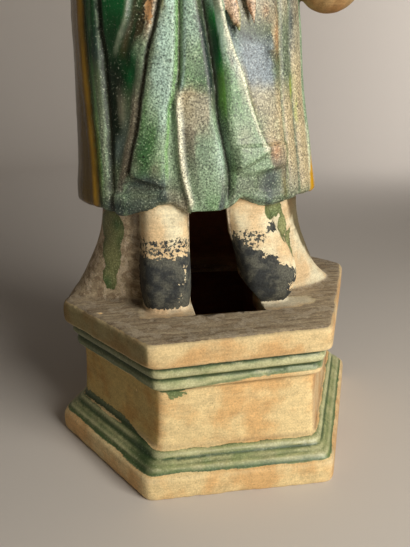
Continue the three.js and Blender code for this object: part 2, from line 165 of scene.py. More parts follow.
# Boots: solid rounded-square feet in unglazed clay, luted to the front of the skirt.
# The right-hand one turns outwards, and each has a shallow seam above its toe.
BOOT_BOTTOM, BOOT_TOP, BOOT_BACK, BOOT_SQUARE = 82, 148, -12, 3.4
LEFT_BOOT = {
    "centre": [(82, -32), (104, -31.8), (148, -31.5)],
    "half_width": [(82, 12), (88, 12.4), (94, 13), (104, 13.3), (113, 13.2), (118.5, 12.8), (127, 12.7), (148, 12.4)],
    "front": [(82, -42), (86, -43.4), (90, -45), (94, -46), (104, -46.6), (113, -45.4), (118.5, -43), (127, -42.6), (148, -42)],
    "seam": 101,
}
RIGHT_BOOT = {
    "centre": [(82, 25), (95, 24.5), (102, 24.2), (110, 22.8), (120, 18.8), (130, 14.2), (148, 9.5)],
    "half_width": [(82, 9), (87, 10.5), (89.5, 12.6), (95, 14.6), (102, 15.8), (110, 16), (120, 15), (130, 12.8), (148, 11.4)],
    "front": [(82, -39), (87, -40), (89.5, -42.2), (95, -44.6), (102, -45.6), (110, -44.8), (120, -42.4), (130, -41.2), (148, -41)],
    "seam": 97,
}


def ridge(x, centre, half_width):
    return np.exp(-(((x - centre) / half_width) ** 2))


def boot_place(boot):
    def place(angle, v):
        z = BOOT_BOTTOM + (BOOT_TOP - BOOT_BOTTOM) * v
        front = along(boot["front"], z) + 0.6 * ridge(z, boot["seam"], 1.0)
        x, y = oval(angle, along(boot["half_width"], z), (BOOT_BACK - front) / 2, BOOT_SQUARE)
        return along(boot["centre"], z) + x, (BOOT_BACK + front) / 2 + y, z
    return place


shells["boots"] = [stacked("left_boot", 97, 90, boot_place(LEFT_BOOT)),
                   stacked("right_boot", 97, 90, boot_place(RIGHT_BOOT))]


# Robe: the press-moulded shell of the body. Two sash panels hang over a rounded centre fold in front,
# with furrows cut beside them while the clay was leather-hard, and plain pleats run down the back.
HEM, BELT, SHOULDER, NECK = 140.5, 285, 386, 402
LEAN_X = -13
ROBE_WIDTH = [(136, 66.4), (142, 67), (165, 64.3), (195, 60.9), (242, 57.6), (BELT, 52), (320, 54), (350, 58),
              (372, 57), (SHOULDER, 47), (394, 31), (NECK, 19)]
ROBE_DEPTH = [(136, 45.4), (150, 46), (180, 44), (242, 40), (BELT, 37), (330, 38), (360, 37), (SHOULDER, 29),
              (394, 23), (NECK, 18)]
ROBE_CENTRE = [(136, -8.8), (165, -9.9), (195, -11.9), (225, -13.1), (NECK, LEAN_X)]
# Height of the hem across the front, as (x, height)
HEM_LINE = [(-72, 141), (-64, 140.5), (-59, 139.2), (-53, 137.7), (-46, 140), (-40, 141.8), (-34, 144.3), (-28, 144),
            (-23, 140.4), (-12, 139.2), (-5, 139.4), (0, 140.7), (4, 142.9), (6.5, 145.5), (10.7, 144.8), (16, 142.6),
            (24.5, 140.8), (31.6, 141.6), (37, 142.5), (44, 144), (52, 143.5), (60, 141)]
# Edges in the cloth across the front, as (height, x)
AMBER_LEFT = [(136, -63.7), (170, -63.3), (194, -64), (238, -64.2), (BELT, -58), (SHOULDER, -56)]
FOLD_EDGE = [(136, -59.4), (151, -59.2), (189, -58.4), (238, -59), (BELT, -56)]
LEFT_FURROW = [(136, -58), (150, -57.8), (189, -57), (203, -57.4), (238, -57.2), (BELT, -54)]
DRAPE_EDGE = [(214, -51), (222, -48.6), (228, -46), (237, -43.9), (260, -41), (BELT, -38)]
PANEL_LEFT = [(150, -50), (159, -47.4), (171, -44.6), (180, -42), (195, -39.3), (205, -37.2), (216, -35.1),
              (226, -31.9), (236, -29.5), (BELT, -19)]
PANEL_RIGHT = [(150, -31), (171, -31.1), (180, -29.9), (190, -29.1), (196, -27.4), (203, -26), (220, -24.4),
               (236, -23.9), (BELT, -17)]
STITCH_GROOVE = [(196, -23.3), (211, -22.6), (224, -22.2), (236, -21.9), (BELT, -15.5)]
CREAM_RIDGE = [(136, -19), (147.6, -20.5), (152, -21.7), (165, -23.9), (181, -24.5), (195, -24.3), (203, -22.6),
               (224, -21), (236, -20.6), (BELT, -14)]
CENTRE_FURROW = [(136, -2), (143.7, -0.8), (155, 0.6), (168, -1.2), (184, -4.4), (203, -5.9), (218, -8),
                 (236, -10.8), (BELT, -13)]
SASH_RIGHT = [(158, 24), (169.1, 20.3), (177.5, 16.1), (188.4, 11.9), (206.6, 6.4), (219.7, 1.1), (236.5, -3.4),
              (BELT, -11)]
RIGHT_FURROW = [(136, 33.6), (162, 32.5), (183, 30.4), (193, 29.3), (216, 28), (238, 27.1), (BELT, 24)]
OUTER_FURROW = [(136, 41.5), (155, 40.4), (173, 38.4), (192, 36.6), (214, 34.5), (239, 33.6), (BELT, 31)]
AMBER_RIGHT = [(136, 49.2), (143, 48.7), (166, 47.4), (192, 44.3), (212, 43.1), (239, 41), (BELT, 37), (SHOULDER, 33)]
UNDERSIDE = 0.03
FRONT_DENSITY = 0.35
BACK_FOLDS = 9


def between(x, low, high, soft):
    return step(x, low - soft / 2, low + soft / 2) * (1 - step(x, high - soft / 2, high + soft / 2))


def drapery(angle, x, z):
    """How far the cloth stands out from the smooth body."""
    front = step(np.cos(angle), -0.05, 0.2)
    below = 1 - step(z, BELT - 8, BELT - 2)
    panel_left, panel_right = along(PANEL_LEFT, z), along(PANEL_RIGHT, z)
    furrow, cream, sash_right = along(CENTRE_FURROW, z), along(CREAM_RIDGE, z), along(SASH_RIGHT, z)
    drape = along(DRAPE_EDGE, z)
    outer, amber = along(OUTER_FURROW, z), along(AMBER_RIGHT, z)
    panel_foot = 152.4 + 6.5 * np.clip((-31 - x) / 17, 0, 1)
    sash_foot = 160.3 + 8.2 * np.clip((x - 4) / 16, 0, 1)
    layer_foot = 158.2 + 2.8 * np.clip((x - 16) / 15, 0, 1)
    out = 1.3 * between(x, along(AMBER_LEFT, z) + 0.8, along(FOLD_EDGE, z), 1.2)
    out += 0.9 * ridge(x, along(AMBER_LEFT, z) - 2.6, 1.5) - 0.8 * ridge(x, along(AMBER_LEFT, z) + 0.2, 0.8)
    out -= 2.6 * ridge(x, along(LEFT_FURROW, z), 1.3)
    out -= 1.3 * between(x, -55, panel_left - 5.5, 3) * between(z, 151.5, 300, 3)
    out += 2.2 * between(x, -56, drape, 2.2) * step(z, 212, 226)
    out -= 1.4 * ridge(x, drape + 3, 2.2) * between(z, 206, 228, 8)
    out += 2.7 * step(x, panel_left - 0.7, panel_left + 0.5) * (1 - step(x, panel_right - 0.6, panel_right + 2.6)) \
        * step(z, panel_foot - 0.9, panel_foot + 0.7)
    out -= 1.8 * ridge(x, panel_left - 1.5, 0.9) * step(z, 158, 163)
    out -= 1.5 * ridge(x, along(STITCH_GROOVE, z), 0.8) * step(z, 193, 198)
    out += 1.6 * ridge(x, cream + 0.6, 1.6) * (1 - step(z, 198, 206))
    out += (2.4 + 0.5 * step(z, 195, 197)) * between(x, cream + 0.6, furrow - 2, 4)
    out -= 0.7 * ridge(x, cream + 3.6, 1.6) * (1 - step(z, 190, 200))
    out -= 3.4 * ridge(x, furrow, 1.4) * step(z, 140, 152)
    out += 3.6 * step(x, furrow - 0.4, furrow + 4.4) * (1 - step(x, sash_right - 0.75, sash_right + 0.75)) \
        * step(z, sash_foot - 1, sash_foot + 1)
    out += 0.8 * ridge(x, furrow + 6, 3) * step(z, 165, 190) + 0.5 * ridge(x, sash_right - 1.2, 1) * step(z, 168, 172)
    out -= 0.9 * ridge(x, sash_right + 1.7, 1.1) * step(z, 168, 172)
    out += 1.8 * between(x, furrow + 4, 32, 2) * between(z, layer_foot, 172, 2)
    out -= 1.7 * between(x, 15, 31.5, 5) * between(z, 147, layer_foot, 3)
    out -= 1.7 * ridge(x, along(RIGHT_FURROW, z), 0.9)
    out -= 1.7 * ridge(x, outer, 0.9)
    out += 1.0 * between(x, outer + 2.4, amber - 0.6, 1.6)
    out += 0.9 * ridge(x, amber + 2.4, 1.7) - 0.8 * ridge(x, amber - 0.3, 0.7)
    out += 1.6 * between(x, -58, -30, 4) * (1 - step(z, 149.2, 151.0)) - 0.9 * between(x, -56, -31, 3) * ridge(z, 152, 1.2)
    back = 1.3 * np.cos(BACK_FOLDS * angle) * (1 - step(z, 300, 350))
    return below * front * out + (1 - front) * back


def girdle(z):
    return 2.2 * between(z, BELT - 7, BELT + 7, 2) - 0.5 * ridge(z, BELT - 3.5, 0.8) - 0.5 * ridge(z, BELT + 3.5, 0.8)


def collar(angle, x, z):
    """The two crossed edges of the collar, each a raised band."""
    rise = (z - BELT) / (SHOULDER - BELT)
    front = step(np.cos(angle), 0.1, 0.4) * (1 - step(z, 388, 396))
    over = between(x, LEAN_X + 9 - 38 * rise, LEAN_X + 19 - 38 * rise, 1.6) * step(rise, 0.05, 0.12)
    under = between(x, LEAN_X - 19 + 38 * rise, LEAN_X - 9 + 38 * rise, 1.6) * step(rise, 0.4, 0.46)
    return 1.9 * front * np.maximum(over, under)


def chest_folds(angle, x, z):
    """Shallow folds that fan down from each shoulder to the girdle."""
    fan = np.abs(x - LEAN_X) - 0.35 * (z - BELT)
    return 0.9 * np.cos(fan / 2.6) * step(np.abs(x - LEAN_X), 20, 30) * between(z, BELT + 10, 372, 16)


def robe_place(column, v):
    angle = column - FRONT_DENSITY * np.sin(column)
    tuck = np.clip(1 - v / UNDERSIDE, 0, 1)
    z = HEM + (NECK - HEM) * np.clip((v - UNDERSIDE) / (1 - UNDERSIDE), 0, 1)
    ox, oy = oval(angle, along(ROBE_WIDTH, z), along(ROBE_DEPTH, z))
    centre = along(ROBE_CENTRE, z)
    x = centre + ox
    front = step(np.cos(angle), 0, 0.3)
    roll = -1.8 * (1 - step(z, HEM, HEM + 2.6)) ** 2
    out = drapery(angle, x, z) + girdle(z) + collar(angle, x, z) + chest_folds(angle, x, z) + roll
    grow = (1 + out / np.hypot(ox, oy)) * (1 - 0.5 * tuck)
    lift = front * (along(HEM_LINE, x) - HEM) * (1 - step(z, HEM, HEM + 16))
    return centre + ox * grow, oy * grow, z + lift + 3 * tuck


shells["robe"] = [stacked("robe", 521, 400, robe_place)]


# Girdle ends: two flat ribbons of clay that hang from the knot, pressed on to the moulded robe.
RIBBONS = [
    [(-8, -39, 284, 3.5), (-3.5, -40.6, 262, 3.6), (0.2, -42.2, 240, 3.4), (3.6, -42.4, 230, 3.0), (6.0, -42.2, 222.5, 2.2)],
    [(-4, -38, 284, 3.5), (5, -40, 264, 3.2), (9.8, -41, 242, 2.6), (11.6, -41, 234, 2.5), (13.2, -40.6, 226, 1.8)],
]
KNOT = [(-14, -37, 285, 5), (-7, -40, 285, 7), (0, -37, 285, 5)]


def moulded(name, columns, rows, place):
    """A closed form pressed from a ball: place(x, y, z on the unit ball) gives its points."""
    bm = bmesh.new()
    bmesh.ops.create_uvsphere(bm, u_segments=columns, v_segments=rows, radius=1)
    return shaped(name, bm, place)


def limb(name, stations, columns=48, rows=64, flat=1, folds=0, fold_length=9):
    """A rounded limb along a path of (x, y, z, radius) stations. Flat squeezes it from front to back."""
    knots = np.linspace(0, 1, len(stations))
    tracks = [list(zip(knots, values)) for values in zip(*stations)]

    def place(x, y, z):
        share = np.arccos(np.clip(z, -1, 1)) / math.pi
        around = np.arctan2(y, x)
        centre = np.stack([along(track, share) for track in tracks[:3]])
        ahead = np.stack([along(track, share + 0.01) - along(track, share - 0.01) for track in tracks[:3]])
        ahead /= np.linalg.norm(ahead, axis=0)
        side = np.cross(ahead.T, (0, 1, 0)).T
        side /= np.linalg.norm(side, axis=0)
        up = np.cross(side.T, ahead.T).T
        radius = along(tracks[3], share) * np.minimum(1, 1.15 * np.sqrt(np.sin(math.pi * share)))
        radius = radius + folds * np.cos(2 * math.pi * centre[2] / fold_length + 1.3 * np.sin(around)) * np.sin(math.pi * share)
        return centre + side * np.cos(around) * radius + up * np.sin(around) * radius * flat
    return moulded(name, columns, rows, place)


shells["ribbons"] = [limb("ribbon", ribbon, 32, 48, 0.42) for ribbon in RIBBONS] + [limb("knot", KNOT, 32, 32, 0.7)]


# Arms: one sleeve hangs beside the body and the other is bent across it, with a long fall of cloth under it.
# The sleeves are glazed, and the fists are left bare so that the clay shows.
OUTER_SLEEVE = [(22, 2, 374, 19), (48, 3, 356, 20), (62, 2, 322, 18.5), (62, -8, 284, 18), (58, -14, 256, 18)]
BENT_SLEEVE = [(-48, 2, 374, 19), (-69, 3, 350, 20), (-74, -6, 314, 18.5), (-58, -32, 300, 17), (-34, -45, 299, 14)]
SLEEVE_FALL = [(-60, -26, 300, 15), (-58, -31, 284, 14), (-56, -33, 270, 12.5), (-55, -33, 258, 11), (-54, -33, 246, 9)]
OUTER_FIST = {"centre": (58, -15, 250), "half": (17, 14, 16)}
BENT_FIST = {"centre": (-26, -48, 299), "half": (14, 11, 13)}
FINGER_WIDTH = 0.42


def fist(name, centre, half):
    """A closed hand: the gaps between its four fingers run over the front."""
    def place(x, y, z):
        finger = np.abs((x / FINGER_WIDTH) % 1 - 0.5) * 2
        gap = 0.07 * step(finger, 0.72, 1.0) * step(-y, -0.1, 0.5)
        knuckle = 0.05 * ridge(z, 0.35, 0.25) * step(-y, 0.2, 0.6)
        grow = 1 - gap + knuckle
        return centre[0] + half[0] * x * grow, centre[1] + half[1] * y * grow, centre[2] + half[2] * z * grow
    return moulded(name, 72, 48, place)


shells["sleeves"] = [limb("outer_sleeve", OUTER_SLEEVE, 64, 110, 1, 0.9, 17), limb("bent_sleeve", BENT_SLEEVE, 64, 110, 1, 0.9, 15),
                     limb("sleeve_fall", SLEEVE_FALL, 48, 80, 0.6, 0.5, 26)]
shells["fists"] = [fist("outer_fist", **OUTER_FIST), fist("bent_fist", **BENT_FIST)]


# Head: left unglazed, as on most figures of this kind, with a plain cap over the hair.
# The face is a general one, calm, with brow, nose, lips and chin on even thirds.
CHIN, CROWN, HAT_TOP = 400, 462, 480
HEAD_HALF = np.array((21, 25, (CROWN - CHIN) / 2))
HEAD_CENTRE = np.array((LEAN_X, -3, (CHIN + CROWN) / 2))
EYE_LINE = CHIN + 0.5 * (CROWN - CHIN)
BROW_LINE = EYE_LINE + 6.5
NOSE_BASE = CHIN + 0.32 * (CROWN - CHIN)
MOUTH_LINE = CHIN + 0.215 * (CROWN - CHIN)
EYE_APART = 8.6


def head_place(ux, uy, uz):
    z = HEAD_CENTRE[2] + HEAD_HALF[2] * uz
    jaw = 0.76 + 0.24 * step(z, CHIN, EYE_LINE)
    x = HEAD_HALF[0] * jaw * ux
    front = step(-uy, 0.2, 0.7)
    side = np.abs(x)
    bridge = step(z, NOSE_BASE - 2, NOSE_BASE + 1.5) * (1 - step(z, NOSE_BASE + 1, BROW_LINE))
    nose = 5.4 * ridge(x, 0, 2.3 + 1.2 * ridge(z, NOSE_BASE + 1.5, 3)) * bridge
    nose += 1.8 * ridge(side, 3.4, 1.5) * ridge(z, NOSE_BASE + 1.5, 1.8)
    lips = 1.5 * ridge(x, 0, 5.4) * ridge(z, MOUTH_LINE, 3.2)
    parting = 0.9 * ridge(x, 0, 5.6) * ridge(z, MOUTH_LINE + 0.25 * np.cos(x / 1.8), 0.55)
    chin = 2.2 * ridge(x, 0, 6.5) * ridge(z, CHIN + 5.5, 4.5)
    cheeks = 0.9 * ridge(side, 12, 5) * ridge(z, NOSE_BASE + 3, 7)
    sockets = 2.7 * ridge(side, EYE_APART, 5) * ridge(z, EYE_LINE + 0.5, 3.8)
    brow = 1.1 * ridge(side, EYE_APART, 6.5) * ridge(z, BROW_LINE - 0.06 * (side - EYE_APART) ** 2, 1.7)
    y = HEAD_HALF[1] * uy - front * (nose + lips - parting + chin + cheeks - sockets + brow)
    return HEAD_CENTRE[0] + x, HEAD_CENTRE[1] + y, z


def eye(side):
    """A lowered lid over the rounded eye, with its edge a little proud."""
    def place(x, y, z):
        lid = 0.55 * step(z, -0.32, -0.2) * step(-y, 0.1, 0.5)
        return (HEAD_CENTRE[0] + side * EYE_APART + 4.4 * x * (1 + 0.06 * lid), -22.4 + 3.6 * y - lid,
                EYE_LINE + 2.9 * z * (1 - 0.25 * np.abs(x)))
    return moulded("eye", 40, 32, place)


def ear(side):
    def place(x, y, z):
        rim = 0.25 * (1 - step(np.hypot(y + 0.1, z - 0.1), 0.25, 0.75))
        return (HEAD_CENTRE[0] + side * (HEAD_HALF[0] - 0.5 + 3 * x * (1 - rim)), HEAD_CENTRE[1] + 2 + 5 * y * (1 + 0.15 * z),
                EYE_LINE - 3 + 9.5 * z)
    return moulded("ear", 32, 32, place)


def neck_place(angle, v):
    return LEAN_X + (15.5 - 0.5 * v) * np.sin(angle), -(15.5 - 0.5 * v) * np.cos(angle), 394 + 18 * v


shells["head"] = [moulded("head", 160, 120, head_place), eye(-1), eye(1), ear(-1), ear(1),
                  stacked("neck", 65, 8, neck_place)]

CAP_PROFILE = [(0.0, 19.0), (0.04, 23.2), (0.1, 23.9), (0.2, 23.9), (0.26, 23.4), (0.29, 22.2), (0.5, 21.9), (0.66, 20.2),
               (0.78, 17.4), (0.86, 13.2), (0.9, 7.0), (0.915, 4.6), (0.94, 3.4), (0.965, 3.8), (0.99, 2.4), (1.0, 0.8)]
CAP_BOTTOM_Z = 446
CAP_DEEPER = 1.16


def cap_place(angle, v):
    z = CAP_BOTTOM_Z + (HAT_TOP - 0.4 - CAP_BOTTOM_Z) * v
    radius = along(CAP_PROFILE, v) + 0.5 * np.cos(12 * angle) * between(v, 0.35, 0.85, 0.2)
    lift = 3 * np.cos(angle) * (1 - step(z, 455, 470)) * radius / 24
    return HEAD_CENTRE[0] + radius * np.sin(angle), HEAD_CENTRE[1] - CAP_DEEPER * radius * np.cos(angle), z + lift


shells["cap"] = [stacked("cap", 121, 90, cap_place)]


# Luting: the pressed pieces are joined while wet, sponged over, and become one body.
# Knocks and wear since then have chipped the plinth's corners and softened every edge.
VOXEL = 0.78
UNDULATION = 0.35
CHIP_DEPTH = 1.9
TRIANGLES = 168000

names = list(shells)
parts = [piece for name in names for piece in shells[name]]
name_of_face = np.repeat(np.arange(len(names)), [sum(len(piece.data.polygons) for piece in shells[name]) for name in names])
figure = parts[0]
with bpy.context.temp_override(active_object=figure, selected_editable_objects=parts, selected_objects=parts):
    bpy.ops.object.join()
figure.name = "guardian_figure_glazed"
pressed = bvhtree.BVHTree.FromPolygons([v.co for v in figure.data.vertices], [p.vertices for p in figure.data.polygons])


def settled(piece):
    """Replaces a piece's mesh by what its modifiers make of it."""
    made = bpy.data.meshes.new_from_object(piece.evaluated_get(bpy.context.evaluated_depsgraph_get()))
    piece.modifiers.clear()
    piece.data = made
    return made


remesh = figure.modifiers.new("luting", "REMESH")
remesh.mode = "VOXEL"
remesh.voxel_size = VOXEL * MM
body = settled(figure)


def points_of(mesh):
    flat = np.empty(len(mesh.vertices) * 3)
    mesh.vertices.foreach_get("co", flat)
    return flat.reshape(-1, 3)


def normals_of(mesh):
    flat = np.empty(len(mesh.vertices) * 3)
    mesh.vertices.foreach_get("normal", flat)
    return flat.reshape(-1, 3)


def blurred(mesh, values, times):
    """Values on the vertices, each averaged with its neighbours a number of times."""
    ends = np.empty(len(mesh.edges) * 2, int)
    mesh.edges.foreach_get("vertices", ends)
    a, b = ends.reshape(-1, 2).T
    count = np.bincount(a, minlength=len(values)) + np.bincount(b, minlength=len(values)) + 1
    for _ in range(times):
        total = values.copy()
        for column in range(values.shape[1]):
            total[:, column] += np.bincount(a, values[b, column], len(values)) + np.bincount(b, values[a, column], len(values))
        values = total / count[:, None]
    return values


def rough(points, size, seed):
    """Smooth random field from about -1 to 1, with lumps of the given size in millimetres."""
    shift = Vector((seed * 7.31, seed * 3.17, seed * 5.73))
    scale = 1 / (size * MM)
    return np.array([noise.noise(Vector(p) * scale + shift) for p in points])


sponged = blurred(body, points_of(body), 2)
edge_points = blurred(body, sponged, 8)
normals = normals_of(body)
convex = np.einsum("ij,ij->i", sponged - edge_points, normals) / MM
height = sponged[:, 2] / MM
plinth_only = 1 - step(height, CAP_TOP - 0.6, CAP_TOP + 1)
chips = step(rough(sponged, 11, 1) + 0.35 * rough(sponged, 3.5, 2), -0.15, 0.6)
foot = 1 - step(height, FOOT_TOP - 1, FOOT_TOP + 1)
worn = UNDULATION * rough(sponged, 24, 3) + 0.10 * rough(sponged, 4, 4)
worn -= plinth_only * CHIP_DEPTH * (0.45 + 0.55 * foot) * step(convex, 0.05, 0.5) * chips
worn -= 0.25 * plinth_only * (1 - chips) * rough(sponged, 1.9, 5)
worn = np.where(plinth_only > 0.5, np.minimum(worn, 0) - 0.06, worn)
body.vertices.foreach_set("co", (sponged + normals * worn[:, None] * MM).ravel())
body.attributes.new("convex", "FLOAT", "POINT").data.foreach_set("value", convex)

thinning = figure.modifiers.new("thinning", "DECIMATE")
thinning.ratio = TRIANGLES / (2 * len(body.polygons))
body = settled(figure)


# Hollow: the body was pressed into a mould as a shell, and the plinth is open below, so the whole is hollow.
# A tall opening was cut between the boots with a knife before firing, right through to the inside.
WALL, HOLLOW_TOP, PLINTH_HOLLOW_TOP = 8, 352, 78
PLINTH_HOLLOW = np.array([
    # height, share of the plan, turn, wall
    (-1, 0.985, 0, 12), (18, 0.86, 0.2, 9), (57.5, 0.86, 0.8, 9), (PLINTH_HOLLOW_TOP, 0.94, 1, 11),
])
GAP = [(66, -18.4, 20), (88, -18.4, 19.4), (92, -18.6, 15.5), (99, -18.8, 10), (112, -19, 7), (127, -19.2, 2.2),
       (139, -19.3, 0.4), (141, -19.3, 0.2)]
GAP_FRONT, GAP_BACK = -49.5, 6
JOINT_HEIGHT = 105


def plinth_hollow_place(angle, v):
    z, share, turn, wall = PLINTH_HOLLOW[np.round(v * (len(PLINTH_HOLLOW) - 1)).astype(int)].T
    x, y = hexagon_point(angle, turn, share, wall)
    return x, y, z


def body_hollow_place(angle, v):
    z = 70 + (HOLLOW_TOP - 70) * v
    in_robe = step(z, 110, 150)
    closing = 10 * step(v, 0.97, 1) - 0.8 * step(z, JOINT_HEIGHT - 0.6, JOINT_HEIGHT + 0.6)
    ripple = 0.5 * np.cos(5 * angle + z / 11)

    def wall(low, high):
        return (1 - in_robe) * low + in_robe * high - closing + ripple
    width = wall(along(SKIRT_WIDTH, z) - 16, along(ROBE_WIDTH, z) - WALL - 3)
    front = wall(along(SKIRT_FRONT, z) - 7, along(ROBE_DEPTH, z) - WALL - 3)
    back = wall(along(SKIRT_BACK, z) - 9, along(ROBE_DEPTH, z) - WALL)
    centre = (1 - in_robe) * along(SKIRT_CENTRE, z) + in_robe * along(ROBE_CENTRE, z)
    x, y = oval(angle, width, np.where(np.abs(angle) < math.pi / 2, front, back))
    return centre + x, y, z


bm = bmesh.new()
outline = [(left, z) for z, left, _ in GAP] + [(right, z) for z, _, right in reversed(GAP)]
knife_cut = bm.faces.new([bm.verts.new((x, GAP_FRONT, z)) for x, z in outline])
pushed = bmesh.ops.extrude_face_region(bm, geom=[knife_cut])["geom"]
bmesh.ops.translate(bm, vec=(0, GAP_BACK - GAP_FRONT, 0), verts=[v for v in pushed if isinstance(v, bmesh.types.BMVert)])
cutters = [stacked("plinth_hollow", PLINTH_COLUMNS, len(PLINTH_HOLLOW), plinth_hollow_place),
           stacked("body_hollow", 61, 70, body_hollow_place),
           shaped("gap", bm, lambda x, y, z: (x, y, z))]
for cutter in cutters:
    cut = figure.modifiers.new(cutter.name, "BOOLEAN")
    cut.operation, cut.solver, cut.object = "DIFFERENCE", "MANIFOLD", cutter
body = settled(figure)
for cutter in cutters:
    bpy.data.objects.remove(cutter)
fired = points_of(body)
fired[:, 2] = np.maximum(fired[:, 2], 0)
body.vertices.foreach_set("co", fired.ravel())
for polygon in body.polygons:
    polygon.use_smooth = True


# Glazing: green and amber lead glazes were poured over the robe and the beads of the plinth, and the rest left bare.
# Layers of values on the points say where each one lies, what tone it has aged to, how it is worn, and where shade and
# highlights are painted on.
TONES = {
    "pool": "#07170A", "bottle": "#12351B", "emerald": "#0D4B24", "fresh": "#2C9646", "grass": "#69A248",
    "leaf": "#4B6E42", "fern": "#66865E", "sage": "#7F9678", "silver": "#8CA692", "bloom": "#B2CFC2",
    "moss": "#65705A", "olive": "#4A563D", "slate": "#47544F", "night": "#25342E", "haze": "#77838A",
    "tan": "#96917A", "buff": "#A99B7A", "cream": "#E3DFC3", "earth": "#6F6B43", "taupe": "#756E5C",
    "umber": "#38331E", "rust": "#9C6F47", "lime": "#93A62E", "honey": "#B88A12", "treacle": "#6A5520",
    "amber": "#8E6C1E",
}
CLOTH = [
    # from one edge and how far past it, to another, then the tones from the hem upwards
    ((AMBER_LEFT, -0.4), (AMBER_LEFT, 2.2), [(142, "moss"), (160, "leaf"), (182, "fern"), (206, "leaf"), (216, "bottle"), (236, "emerald")]),
    ((AMBER_LEFT, 2.2), (FOLD_EDGE, 0), [(142, "olive"), (176, "moss"), (205, "olive"), (215, "night"), (232, "bottle")]),
    ((LEFT_FURROW, 0.6), (PANEL_LEFT, -6), [(141, "slate"), (148, "sage"), (151, "moss"), (155, "olive"), (164, "night"), (178, "pool"),
                                            (205, "pool"), (225, "bottle"), (236, "emerald"), (270, "emerald")]),
    ((PANEL_LEFT, -9.5), (PANEL_LEFT, -5.5), [(141, "slate"), (148, "moss"), (160, "olive"), (172, "slate"), (192, "olive"), (202, "bottle"),
                                              (214, "emerald"), (222, "umber"), (234, "umber")]),
    ((PANEL_LEFT, -5.5), (PANEL_LEFT, -2), [(144, "slate"), (158, "taupe"), (190, "taupe"), (204, "moss"), (216, "sage"), (224, "tan"),
                                            (232, "rust"), (242, "rust")]),
    ((PANEL_LEFT, -0.4), (PANEL_LEFT, 1.6), [(150, "slate"), (157, "moss"), (166, "olive"), (184, "leaf"), (202, "moss"), (214, "olive"), (236, "earth")]),
    ((PANEL_LEFT, 1.6), (PANEL_RIGHT, -4), [(141, "slate"), (148, "moss"), (156, "slate"), (163, "leaf"), (178, "leaf"), (190, "sage"),
                                            (204, "silver"), (228, "silver"), (242, "sage")]),
    ((PANEL_RIGHT, -4), (PANEL_RIGHT, 0), [(144, "moss"), (154, "slate"), (163, "fern"), (174, "sage"), (182, "silver"), (228, "silver"), (240, "bloom")]),
    ((PANEL_RIGHT, 0), (CREAM_RIDGE, -1), [(144, "tan"), (152, "moss"), (163, "sage"), (174, "sage"), (186, "fern"), (204, "sage"), (240, "silver")]),
    ((CREAM_RIDGE, 1), (CREAM_RIDGE, 8), [(144, "sage"), (165, "moss"), (178, "taupe"), (184, "tan"), (196, "buff"), (200, "fern"),
                                          (214, "sage"), (224, "silver"), (240, "silver")]),
    ((CREAM_RIDGE, 8), (CENTRE_FURROW, -4.5), [(144, "fern"), (152, "sage"), (174, "sage"), (184, "tan"), (196, "tan"), (200, "leaf"),
                                               (212, "fern"), (236, "fern")]),
    ((CENTRE_FURROW, -4.5), (CENTRE_FURROW, -1), [(144, "slate"), (155, "moss"), (172, "sage"), (184, "sage"), (192, "moss"), (200, "night"),
                                                  (224, "night"), (236, "olive")]),
    ((CENTRE_FURROW, 1), (CENTRE_FURROW, 4), [(144, "moss"), (163, "fern"), (172, "sage"), (184, "leaf"), (193, "grass"), (203, "grass"),
                                              (210, "fresh"), (218, "emerald"), (230, "fresh"), (238, "bloom")]),
    ((CENTRE_FURROW, 4), (SASH_RIGHT, -4), [(144, "sage"), (152, "moss"), (163, "sage"), (182, "sage"), (194, "fern"), (206, "fern"),
                                            (216, "silver"), (226, "bloom"), (240, "bloom")]),
    ((SASH_RIGHT, -4), (SASH_RIGHT, 0), [(146, "slate"), (155, "slate"), (163, "sage"), (190, "sage"), (208, "tan"), (224, "silver"), (234, "moss")]),
    ((SASH_RIGHT, 0.6), (SASH_RIGHT, 3), [(148, "moss"), (156, "slate"), (164, "taupe"), (192, "earth"), (206, "tan"), (220, "haze"), (234, "silver")]),
    ((SASH_RIGHT, 3), (RIGHT_FURROW, -4), [(143, "olive"), (150, "moss"), (157, "moss"), (163, "taupe"), (170, "buff"), (196, "tan"),
                                           (202, "haze"), (216, "haze"), (224, "olive"), (236, "tan")]),
    ((RIGHT_FURROW, -4), (RIGHT_FURROW, -0.5), [(143, "olive"), (150, "earth"), (160, "taupe"), (170, "buff"), (194, "buff"), (203, "moss"),
                                                (212, "olive"), (222, "buff"), (238, "taupe")]),
    ((RIGHT_FURROW, 0.5), (OUTER_FURROW, -0.5), [(143, "moss"), (152, "tan"), (165, "buff"), (190, "buff"), (204, "moss"), (226, "moss"), (238, "tan")]),
    ((OUTER_FURROW, 0.5), (AMBER_RIGHT, 0.6), [(143, "moss"), (152, "buff"), (206, "buff"), (222, "tan"), (240, "taupe")]),
]
